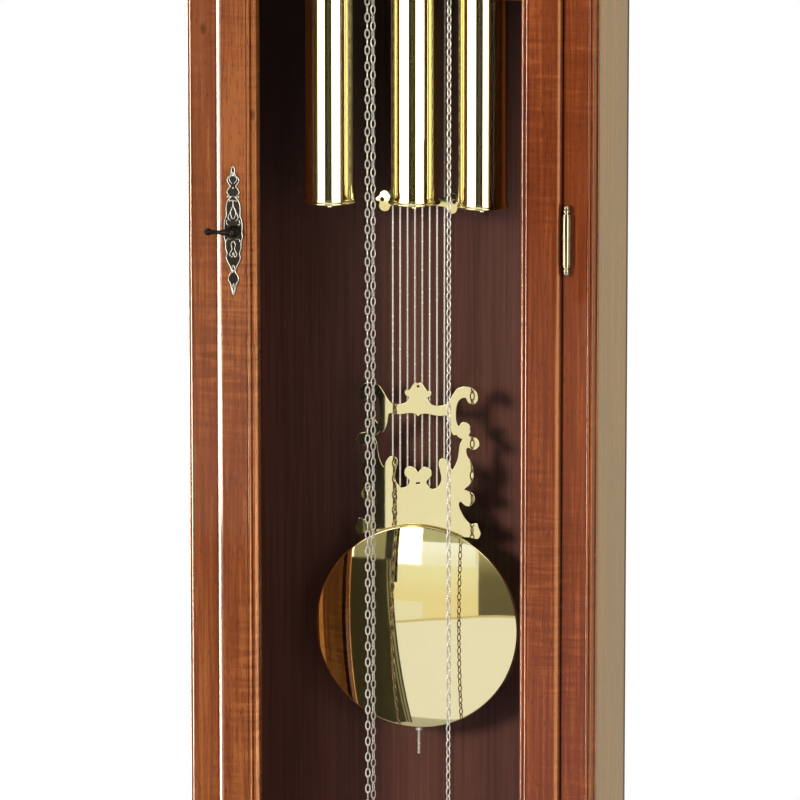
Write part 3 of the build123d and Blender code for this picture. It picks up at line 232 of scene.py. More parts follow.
def lacquered_cherry(name, grain="z", switch=None, curl=0.25, matched=True):
    """American cherry, planed, sanded and finished in satin lacquer.

    The eye sees a warm brown with fine darker streaks along the grain, short
    dark pores, faint waves across it and a few pin knots under a soft sheen.
    Uprights that aren't matched are redder on the right than on the left."""
    wood = bpy.context.scene.clock_wood
    material, add = new_material(name)
    grain_at, x, z, stiles = along_grain(add, grain, switch)
    # broad tone: 60 mm across the grain, 500 mm along it
    broad_at = add("Mapping", {"Scale": (16, 16, 2)}, {"Vector": grain_at})
    broad = add("TexNoise", {"Scale": 1.0, "Detail": 2.0}, {"Vector": broad_at})
    # growth streaks, 3 mm across and 120 mm long, wavering
    streak_at = add("Mapping", {"Scale": (330, 330, 8)}, {"Vector": grain_at})
    streak = add(
        "TexNoise", {"Scale": 1.0, "Detail": 4.0, "Roughness": 0.62, "Distortion": 0.6}, {"Vector": streak_at}
    )
    # pores, 0.25 mm wide in the real wood, drawn 0.7 mm wide and 9 mm long
    pore_at = add("Mapping", {"Scale": (1400, 1400, 110)}, {"Vector": grain_at})
    pore = add("TexNoise", {"Scale": 1.0, "Detail": 1.0}, {"Vector": pore_at})
    pores = add("MapRange", {"From Min": 0.6, "From Max": 0.72, "To Max": 0.7}, {"Value": pore})
    # curly figure: waves across the grain, in patches
    wave_at = add("Mapping", {"Scale": (14, 14, 1 / wood.figure)}, {"Vector": grain_at})
    wave = add(
        "TexNoise", {"Scale": 1.0, "Detail": 2.0, "Roughness": 0.7, "Distortion": 0.9}, {"Vector": wave_at}
    )
    patch_at = add("Mapping", {"Scale": (14, 14, 5)}, {"Vector": grain_at})
    patch = add("TexNoise", {"Scale": 1.0, "Detail": 1.0}, {"Vector": patch_at})
    patches = add("MapRange", {"From Min": 0.42, "From Max": 0.62, "To Max": curl}, {"Value": patch})
    # colour: pale to deep by the streaks, shifted by the broad tone and the curl
    tone = add("Math", {"operation": "MULTIPLY_ADD", 1: 0.75}, {0: broad, 2: streak})
    curled = add("Math", {"operation": "SUBTRACT", 1: 0.5}, {0: wave})
    curled = add("Math", {"operation": "MULTIPLY_ADD"}, {0: curled, 1: patches, 2: tone})
    ramp = add("ValToRGB", links={"Fac": curled})
    ramp.color_ramp.interpolation = "B_SPLINE"
    ramp.color_ramp.elements[0].position = 0.52
    ramp.color_ramp.elements[0].color = rgba(wood.deep)
    ramp.color_ramp.elements[1].position = 0.86
    ramp.color_ramp.elements[1].color = rgba(wood.tone)
    ramp.color_ramp.elements.new(1.0).color = rgba(wood.pale)
    tinted = ramp.outputs["Color"]
    if not matched:
        redder = add("Math", {"operation": "GREATER_THAN", 1: 0.0}, {0: x})
        if stiles is not None:
            redder = add("Math", {"operation": "MULTIPLY"}, {0: redder, 1: stiles})
        tint = add(
            "Mix", {"data_type": "RGBA", "blend_type": "MULTIPLY", 7: rgba(wood.red)},
            {"Factor": redder, 6: tinted}
        )
        tinted = tint.outputs[2]
    # pin knots: dark specks about 2 mm across, a hand's breadth apart
    knot_at = add("Mapping", {"Scale": (16, 16, 9)}, {"Vector": grain_at})
    knot = add("TexVoronoi", {"Scale": 1.0}, {"Vector": knot_at})
    knots = add(
        "MapRange", {"From Min": 0.025, "From Max": 0.06, "To Min": 0.7, "To Max": 0.0}, {"Value": knot}
    )
    marks = add("Math", {"operation": "MAXIMUM"}, {0: knots, 1: pores})
    colour = add(
        "Mix", {"data_type": "RGBA", 7: rgba([c * 0.45 for c in wood.deep])}, {"Factor": marks, 6: tinted}
    )
    rough = add("MapRange", {"To Min": 0.17, "To Max": 0.25}, {"Value": broad})
    bump = add("Bump", {"Strength": 0.25, "Distance": 0.0002, "invert": True}, {"Height": marks})
    shader = add(
        "BsdfPrincipled", {"IOR": 1.5, "Specular IOR Level": 0.25},
        {"Base Color": colour.outputs[2], "Roughness": rough, "Normal": bump}
    )
    add("OutputMaterial", links={"Surface": shader})
    return material


def stained_board(name):
    """Veneered backboard, stained dark and lacquered thin: a deep brown with a fine upright grain, and
    painted shade towards the top left.
    """
    wood = bpy.context.scene.clock_wood
    material, add = new_material(name)
    grain_at, x, z, _ = along_grain(add, "z", None)
    fine_at = add("Mapping", {"Scale": (420, 420, 7)}, {"Vector": grain_at})
    fine = add("TexNoise", {"Scale": 1.0, "Detail": 4.0, "Roughness": 0.6}, {"Vector": fine_at})
    wide_at = add("Mapping", {"Scale": (22, 22, 1.6)}, {"Vector": grain_at})
    wide = add("TexNoise", {"Scale": 1.0, "Detail": 2.0}, {"Vector": wide_at})
    mix = add("Math", {"operation": "MULTIPLY_ADD", 1: 0.8}, {0: wide, 2: fine})
    share = add("MapRange", {"From Min": 0.6, "From Max": 1.2}, {"Value": mix})
    colour = add(
        "Mix",
        {"data_type": "RGBA", 6: rgba([c * 0.7 for c in wood.back]), 7: rgba([c * 1.45 for c in wood.back])},
        {"Factor": share}
    )
    # painted shade: the board is drawn darker towards the top, under the seatboard, most of all in the left
    # corner
    shade = add("Math", {"operation": "MULTIPLY_ADD", 1: -0.35}, {0: x, 2: z})
    shade = add(
        "MapRange",
        {"interpolation_type": "SMOOTHSTEP", "From Min": 1.1, "From Max": 1.4, "To Min": 1.0, "To Max": 0.25},
        {"Value": shade}
    )
    painted_shade_colour = add("VectorMath", {"operation": "SCALE"}, {0: colour.outputs[2], "Scale": shade})
    shader = add(
        "BsdfPrincipled", {"Roughness": 0.48, "IOR": 1.5, "Specular IOR Level": 0.12}, {"Base Color": painted_shade_colour}
    )
    add("OutputMaterial", links={"Surface": shader})
    return material


def polished_metal(name, colour, roughness, wander=0.0, metallic=1.0):
    """Buffed metal: a mirror of its surroundings in its own colour.

    wander is how far fine buffing marks, 3 mm apart, move the roughness. Thin
    plated wire is partly dull, so it is less than fully metallic."""
    material, add = new_material(name)
    place = add("TexCoord").outputs["Object"]
    marks = add("TexNoise", {"Scale": 300.0, "Detail": 3.0}, {"Vector": place})
    rough = add(
        "MapRange", {"From Min": 0.3, "From Max": 0.7, "To Min": roughness, "To Max": roughness + wander},
        {"Value": marks}
    )
    shade = add(
        "Mix", {"data_type": "RGBA", 6: rgba([c * 0.96 for c in colour]), 7: rgba(colour)}, {"Factor": marks}
    )
    shader = add(
        "BsdfPrincipled", {"Metallic": metallic}, {"Base Color": shade.outputs[2], "Roughness": rough}
    )
    add("OutputMaterial", links={"Surface": shader})
    return material


def darkened_bronze(name):
    """Cast bronze, darkened chemically and rubbed bright on what stands out."""
    metal = bpy.context.scene.clock_metal
    material, add = new_material(name)
    place = add("TexCoord").outputs["Object"]
    cloud = add("TexNoise", {"Scale": 700.0, "Detail": 3.0}, {"Vector": place})
    colour = add(
        "Mix",
        {
            "data_type": "RGBA", 6: rgba([c * 0.6 for c in metal.bronze]),
            7: rgba([c * 1.7 for c in metal.bronze])
        },
        {"Factor": cloud},
    )
    bump = add("Bump", {"Strength": 0.3, "Distance": 0.0002}, {"Height": cloud})
    shader = add(
        "BsdfPrincipled", {"Metallic": 0.9, "Roughness": 0.3},
        {"Base Color": colour.outputs[2], "Normal": bump}
    )
    add("OutputMaterial", links={"Surface": shader})
    return material


def float_glass(name):
    """Clear float glass with an anti-reflection coat: nearly unseen, and light passes through it."""
    material, add = new_material(name)
    place = add("TexCoord").outputs["Object"]
    haze = add("TexNoise", {"Scale": 6.0, "Detail": 2.0}, {"Vector": place})
    tint = add(
        "Mix", {"data_type": "RGBA", 6: (0.985, 0.99, 0.985, 1.0), 7: (1.0, 1.0, 1.0, 1.0)}, {"Factor": haze}
    )
    pane = add(
        "BsdfPrincipled", {"Roughness": 0.0, "IOR": 1.45, "Transmission Weight": 1.0},
        {"Base Color": tint.outputs[2]}
    )
    clear = add("BsdfTransparent")
    path = add("LightPath")
    soft = add(
        "Math", {"operation": "MAXIMUM"},
        {0: path.outputs["Is Shadow Ray"], 1: path.outputs["Is Diffuse Ray"]}
    )
    coated = add("Math", {"operation": "MAXIMUM", 1: 0.992}, {0: soft})
    mixed = add("MixShader", links={0: coated, 1: pane, 2: clear})
    add("OutputMaterial", links={"Surface": mixed})
    return material


def painted(name, colour, roughness):
    """Enamel paint, brushed or printed: an even colour with a slight bloom."""
    material, add = new_material(name)
    place = add("TexCoord").outputs["Object"]
    cloud = add("TexNoise", {"Scale": 90.0, "Detail": 3.0}, {"Vector": place})
    shade = add(
        "Mix", {"data_type": "RGBA", 6: rgba([c * 0.93 for c in colour]), 7: rgba(colour)}, {"Factor": cloud}
    )
    shader = add("BsdfPrincipled", {"Roughness": roughness, "IOR": 1.5}, {"Base Color": shade.outputs[2]})
    add("OutputMaterial", links={"Surface": shader})
    return material


def dress(material, *names):
    """Give CAD nodes their finish."""
    for name in names:
        nodes[name].data.materials.clear()
        nodes[name].data.materials.append(material)


def metal_named(name):
    """The metals that several groups share, made once."""
    if name in bpy.data.materials:
        return bpy.data.materials[name]
    metal = bpy.context.scene.clock_metal
    made = {
        "brass_polished_and_lacquered": (metal.brass, 0.02, 0.02),
        "brass_satin_movement": (linear("D9B96E"), 0.22, 0.12),
        "nickel_plated_wire": (metal.chain, 0.2, 0.1, 0.45),
        "steel_polished": (linear("B8B6B2"), 0.14, 0.12),
        "steel_blued": (linear("2A2E3C"), 0.25, 0.1),
        "bronze_rubbed_bright": (metal.worn, 0.2, 0.12, 0.8),
        "bronze_dark_polished": (linear("B4A888"), 0.08, 0.06),
        "iron_cast": (linear("5A5855"), 0.5, 0.15),
    }
    return polished_metal(name, *made[name])


# ------------------------------------------------------------------ mesh tools
def new_piece(name, parts, materials, smooth=40):
    """A mesh piece from parts: (vertices in metres, faces, material index)."""
    verts, faces, marks = [], [], []
    for part_verts, part_faces, mark in parts:
        base = len(verts)
        verts.extend(tuple(v) for v in part_verts)
        faces.extend(tuple(base + i for i in face) for face in part_faces)
        marks.extend([mark] * len(part_faces))
    mesh = bpy.data.meshes.new(name)
    mesh.from_pydata(verts, [], faces)
    mesh.polygons.foreach_set("material_index", marks)
    for material in materials:
        mesh.materials.append(material)
    mesh.shade_smooth()
    mesh.set_sharp_from_angle(angle=radians(smooth))
    mesh.update()
    piece = bpy.data.objects.new(name, mesh)
    bpy.context.scene.collection.objects.link(piece)
    return piece


def seat(piece, body, slot, *replaced):
    """Ride a piece on its body and hide the CAD nodes it replaces; slot is not used."""
    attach(piece, body)
    if replaced:
        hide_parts(*replaced)


def turned(profile, steps, place, mark=0):
    """A turned solid: profile is (radius, height) in mm along its axis, closed on the axis or round."""
    verts, rings = [], []
    for radius, height in profile:
        if radius < 1e-6:
            rings.append([len(verts)])
            verts.append(place @ Vector((0, 0, height * MM)))
        else:
            rings.append(list(range(len(verts), len(verts) + steps)))
            for k in range(steps):
                turn = 2 * pi * k / steps
                verts.append(place @ Vector((radius * cos(turn) * MM, radius * sin(turn) * MM, height * MM)))
    faces = []
    for low, high in zip(rings, rings[1:]):
        for k in range(steps):
            j = (k + 1) % steps
            if len(low) == 1 and len(high) == 1:
                continue
            if len(low) == 1:
                faces.append((low[0], high[j], high[k]))
            elif len(high) == 1:
                faces.append((low[k], low[j], high[0]))
            else:
                faces.append((low[k], low[j], high[j], high[k]))
    return verts, faces, mark


def arc(middle, radius, start, end, steps):
    """Points of an arc for a profile or outline, angles in degrees."""
    turns = [radians(start + (end - start) * k / steps) for k in range(steps + 1)]
    return [(middle[0] + radius * cos(t), middle[1] + radius * sin(t)) for t in turns]


def between_hoops(spans, count, sides):
    """Faces between hoops of vertices; with as many spans as hoops the last one meets the first."""
    faces = []
    for k in range(spans):
        a, b = k * sides, (k + 1) % count * sides
        for s in range(sides):
            t = (s + 1) % sides
            faces.append((a + s, a + t, b + t, b + s))
    return faces


def tube(points, radius, sides, closed=False, mark=0):
    """A round wire along points, all in mm, given back in metres."""
    line = [Vector(p) for p in points]
    count = len(line)
    verts = []
    normal = None
    for k, point in enumerate(line):
        if closed:
            tangent = line[(k + 1) % count] - line[k - 1]
        else:
            tangent = line[min(k + 1, count - 1)] - line[max(k - 1, 0)]
        tangent.normalize()
        if normal is None:
            other = Vector((0, 1, 0)) if abs(tangent.y) < 0.9 else Vector((1, 0, 0))
            normal = (other - tangent * other.dot(tangent)).normalized()
        normal = (normal - tangent * normal.dot(tangent)).normalized()
        side = tangent.cross(normal)
        for s in range(sides):
            turn = 2 * pi * s / sides
            verts.append((point + radius * (cos(turn) * normal + sin(turn) * side)) * MM)
    faces = between_hoops(count if closed else count - 1, count, sides)
    if not closed:
        faces.append(tuple(reversed(range(sides))))
        faces.append(tuple((count - 1) * sides + s for s in range(sides)))
    return verts, faces, mark


def flowing(points, closed=True, steps=5):
    """A smooth line through points; a point given twice stays a corner."""
    count = len(points)
    line = []
    spans = count if closed else count - 1
    for k in range(spans):
        if closed:
            quad = [points[(k + j) % count] for j in (-1, 0, 1, 2)]
        else:
            quad = [points[min(max(k + j, 0), count - 1)] for j in (-1, 0, 1, 2)]
        p0, p1, p2, p3 = [Vector(p) for p in quad]
        if (p2 - p1).length < 1e-9:
            continue
        for s in range(steps):
            t = s / steps
            line.append(
                0.5
                * (
                    2 * p1
                    + (p2 - p0) * t
                    + (2 * p0 - 5 * p1 + 4 * p2 - p3) * t * t
                    + (3 * p1 - p0 - 3 * p2 + p3) * t**3
                )
            )
    if not closed:
        line.append(Vector(points[-1]))
    return line


def mirrored(half):
    """A closed outline from its right half, given from top to bottom."""
    left = [(-x, z) for x, z in reversed(half) if x > 1e-6]
    return half + left


def meshed(curve, place):
    """Vertices at their place and faces of a curve, which is then removed."""
    holder = bpy.data.objects.new(curve.name, curve)
    bpy.context.scene.collection.objects.link(holder)
    graph = bpy.context.evaluated_depsgraph_get()
    mesh = bpy.data.meshes.new_from_object(holder.evaluated_get(graph))
    verts = [place @ v.co for v in mesh.vertices]
    faces = [tuple(p.vertices) for p in mesh.polygons]
    bpy.data.objects.remove(holder)
    bpy.data.meshes.remove(mesh)
    bpy.data.curves.remove(curve)
    return verts, faces


def plate(outlines, thick, edge, place, mark=0):
    """Sheet metal cut to closed outlines in mm, the later ones holes, with rounded edges."""
    curve = bpy.data.curves.new("plate", "CURVE")
    curve.dimensions = "2D"
    curve.fill_mode = "BOTH"
    curve.extrude = (thick / 2 - edge) * MM
    curve.bevel_depth = edge * MM
    curve.bevel_resolution = 2
    curve.offset = -edge * MM
    for outline in outlines:
        spline = curve.splines.new("POLY")
        spline.points.add(len(outline) - 1)
        for point, at in zip(spline.points, outline):
            point.co = (at[0] * MM, at[1] * MM, 0, 1)
        spline.use_cyclic_u = True
    return (*meshed(curve, place), mark)


def upright(x, y, z):
    """Puts a turned solid, its axis upright, at a point in mm."""
    return Matrix.Translation(Vector((x, y, z)) * MM)


def facing_front(x, y, z):
    """Puts a drawing or a turned solid at a point in mm: drawn x to the right, y up, its axis to -Y."""
    return upright(x, y, z) @ Matrix(((1, 0, 0), (0, 0, -1), (0, 1, 0))).to_4x4()


def soft_box(low, high, edge, mark=0):
    """A block with chamfered edges between two corners in mm."""
    verts, faces = [], []
    rows = []
    for z, inset in ((low[2], edge), (low[2] + edge, 0), (high[2] - edge, 0), (high[2], edge)):
        ring = []
        x0, x1, y0, y1 = low[0] + inset, high[0] - inset, low[1] + inset, high[1] - inset
        cut = edge * 0.6
        corners = [
            (x0 + cut, y0), (x1 - cut, y0), (x1, y0 + cut), (x1, y1 - cut), (x1 - cut, y1), (x0 + cut, y1),
            (x0, y1 - cut), (x0, y0 + cut),
        ]
        for x, y in corners:
            ring.append(len(verts))
            verts.append(Vector((x, y, z)) * MM)
        rows.append(ring)
    for a, b in zip(rows, rows[1:]):
        for k in range(8):
            j = (k + 1) % 8
            faces.append((a[k], a[j], b[j], b[k]))
    faces.append(tuple(reversed(rows[0])))
    faces.append(tuple(rows[-1]))
    return verts, faces, mark


# ------------------------------------------------------------------ operators
class CLOCK_OT_case(bpy.types.Operator):
    """Finish the wooden case"""

    bl_idname = "clock.case"
    bl_label = "Case woodwork"

    def execute(self, context):
        fronts = ("trunk_face_frame", "hood_frame", "base_front_panel")
        trunk_half, hood_half, base_half = (size(node, 0)[1] * MM for node in fronts)
        trunk_front, hood_front, base_front = (size(node, 1)[0] * MM for node in fronts)
        trunk_stile, hood_stile = 0.1581, 0.1611  # where the uprights of the frames begin
        base_stile = base_half - 0.052
        upright_grain = lacquered_cherry("cherry_lacquered_upright", curl=0.75, matched=False)
        level = lacquered_cherry("cherry_lacquered_level", grain="x")
        sides = lacquered_cherry("cherry_lacquered_sides", curl=0.15)
        finishes = {
            "trunk_face_frame": lacquered_cherry(
                "cherry_face_frame", "x", ("stile", trunk_stile, 0, "z"), 0.75, False
            ),
            "hood_frame": lacquered_cherry("cherry_hood_frame", "x", ("stile", hood_stile, 0, "z")),
            "base_front_panel": lacquered_cherry("cherry_base_front", "x", ("stile", base_stile, 0, "z")),
            "plinth": lacquered_cherry("cherry_plinth", "x", ("run", base_half, base_front, "y")),
            "waist_mouldings": lacquered_cherry("cherry_waist", "x", ("run", trunk_half, trunk_front, "y")),
            "cornice": lacquered_cherry("cherry_cornice", "x", ("run", hood_half, hood_front, "y")),
            "backboard": stained_board("backboard_dark_stained"),
        }
        low, high = size("hood_door_frame", 2)
        rail = 36.5  # width of the hood door's frame
        wide = size("hood_door_frame", 0)[1]
        middle, inner = (low + high) / 2, (high - low) / 2 - rail
        finishes["hood_door_frame"] = lacquered_cherry(
            "cherry_hood_door", "x", ("mitre", (wide - rail) * MM, (middle * MM, inner * MM), "z")
        )
        for node, material in finishes.items():
            dress(material, node)
        dress(upright_grain, "door_left_stile", "door_right_stile", "trunk_glass_beads")
        dress(level, "roof_board", "door_rails", "seatboard")
        dress(sides, "trunk_sides", "hood_sides", "base_carcass")
        dress(float_glass("glass_float_clear"), "trunk_door_glass", "hood_door_glass")
        dress(metal_named("iron_cast"), "levelling_feet")
        return {"FINISHED"}


def link_ring(pitch, width, wire, turn):
    """One chain link about the origin, long axis along Z, turned about it; in mm."""
    half_long = (pitch + wire) / 2
    half_wide = (width - wire) / 2
    steps, sides = 12, 6
    ring = []
    for k in range(steps):
        t = 2 * pi * k / steps
        along = half_long * sin(t)
        out = half_wide * cos(t) * (1.0 - 0.12 * sin(t) ** 2)
        normal = Vector((cos(t) / max(half_wide, 0.1), sin(t) / half_long)).normalized()
        for s in range(sides):
            p = 2 * pi * s / sides
            across = out + wire / 2 * cos(p) * normal.x
            up = along + wire / 2 * cos(p) * normal.y
            deep = wire / 2 * sin(p)
            ring.append((across, deep, up))
    ring = np.array(ring)
    c, s = cos(turn), sin(turn)
    spin = np.array([[c, s, 0], [-s, c, 0], [0, 0, 1]])
    return ring @ spin, between_hoops(steps, steps, sides)


def links_along(places, tilts, pitch, width, wire, lean):
    """Links at places, alternately turned; tilts lean a link over in the XZ plane."""
    rings = [link_ring(pitch, width, wire, radians(lean)), link_ring(pitch, width, wire, radians(lean + 90))]
    verts, faces = [], []
    for number, (place, tilt) in enumerate(zip(places, tilts)):
        ring, ring_faces = rings[number % 2]
        c, s = cos(tilt), sin(tilt)
        lean_over = np.array([[c, 0, -s], [0, 1, 0], [s, 0, c]])
        base = len(verts)
        verts.extend((ring @ lean_over + np.array(place)) * MM)
        faces.extend(tuple(base + i for i in face) for face in ring_faces)
    return verts, faces, 0


class CLOCK_OT_chains(bpy.types.Operator):
    """Hang the three chains, link by link"""

    bl_idname = "clock.chains"
    bl_label = "Chains"

    def execute(self, context):
        chain = context.scene.clock_chain
        pitch, width, wire = chain.pitch / MM, chain.width / MM, chain.wire / MM
        metal = metal_named("nickel_plated_wire")
        leans = {"strike": 12.0, "time": 35.0, "chime": 52.0}
        travel = 800.0
        chain_r, eye_wire = 2.6, 1.3  # radii of the plain chain and of the wire of the weight's eye
        spare, halvings = 20.0, 40  # of the search for each point's height at rest
        for train in TRAINS:
            weight_x = centre(f"{train}_weight_core", 0)
            y = centre(f"{train}_weight_core", 1)
            ring_x = centre(f"{train}_chain_end_ring", 0)
            end_z = size(f"{train}_chain", 2)[0]
            radius = abs(ring_x - weight_x) / 2
            axis_x = (ring_x + weight_x) / 2
            axis_z = size(f"{train}_chain", 2)[1] - radius - chain_r
            eye_z = size(f"{train}_weight_core", 2)[1] - eye_wire
            lean = leans[train]
            # free strand, plumb from the sprocket to the end ring
            count = round((axis_z - end_z) / pitch)
            step = (axis_z - end_z - 1.0) / count  # ends 1 mm above the plain chain's end
            places = [(ring_x, y, axis_z - step * (k + 0.5)) for k in range(count)]
            strand = new_piece(
                f"{train}_chain_free_strand", [links_along(places, [0] * count, step, width, wire, lean)],
                [metal]
            )
            seat(strand, "case", "steel", f"{train}_chain")
            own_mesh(strand)
            # over the sprocket
            over = max(4, round(pi * radius / pitch))
            turns = [pi * (k + 0.5) / over for k in range(over)]
            side = 1 if weight_x > axis_x else -1
            places = [(axis_x + side * radius * cos(t), y, axis_z + radius * sin(t)) for t in turns]
            tilts = [side * t for t in turns]
            wrap = new_piece(
                f"{train}_chain_on_sprocket",
                [links_along(places, tilts, pi * radius / over, width, wire, lean)], [metal]
            )
            seat(wrap, "case", "steel")
            # weight strand: true links with the weight run down, gathered as it is wound up
            reach = axis_z - eye_z + travel
            count = round(reach / pitch)
            step = reach / count
            places = [(weight_x, y, axis_z - step * (k + 0.5)) for k in range(count)]
            verts, faces, mark = links_along(places, [0] * count, step, width, wire, lean + 45)
            verts = np.array(verts)
            target = verts[:, 2] / MM
            low = np.full(len(target), eye_z - travel - spare)
            high = np.full(len(target), axis_z + spare)
            for _ in range(halvings):
                middle = (low + high) / 2
                t = np.clip((axis_z - middle) / (axis_z - eye_z), 0, 1)
                sunk = middle - travel * t * t * (3 - 2 * t)
                too_high = sunk > target
                high = np.where(too_high, middle, high)
                low = np.where(too_high, low, middle)
            verts[:, 2] = (low + high) / 2 * MM
            drop = new_piece(f"{train}_chain_weight_strand", [(verts, faces, mark)], [metal])
            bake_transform(drop)
            dress(metal, f"{train}_chain_end_ring")
        return {"FINISHED"}


class CLOCK_OT_weights(bpy.types.Operator):
    """Turn the three brass weights with their end caps"""

    bl_idname = "clock.weights"
    bl_label = "Weights"

    def execute(self, context):
        brass = metal_named("brass_polished_and_lacquered")
        for train in TRAINS:
            node = f"{train}_weight_shell"
            x, y = (centre(node, axis) for axis in (0, 1))
            low, high = size(node, 2)
            tall = high - low
            rim = size(node, 0)[1] - x
            tube_r = rim - 1.7
            end = [(2.2, 0.6), (8, 0.5), (13, 0.7), (18.5, 0.25), (rim - 1.2, 0)]
            end += arc((rim - 1.2, 1.2), 1.2, -90, 60, 8)
            end += [(rim - 0.9, 2.9), (tube_r + 0.9, 3.6), (tube_r + 0.7, 4.4), (tube_r, 4.6)]
            profile = [(0.0, 0.6)] + end + [(tube_r, 4.8)]
            profile += [(r, tall - h) for r, h in reversed([(0.0, 0.6)] + end)]
            shell = new_piece(f"{train}_weight_brass", [turned(profile, 96, upright(x, y, low))], [brass], 30)
            seat(shell, f"{train}_weight", "polished_brass", node)
            dress(brass, f"{train}_weight_core")
        return {"FINISHED"}


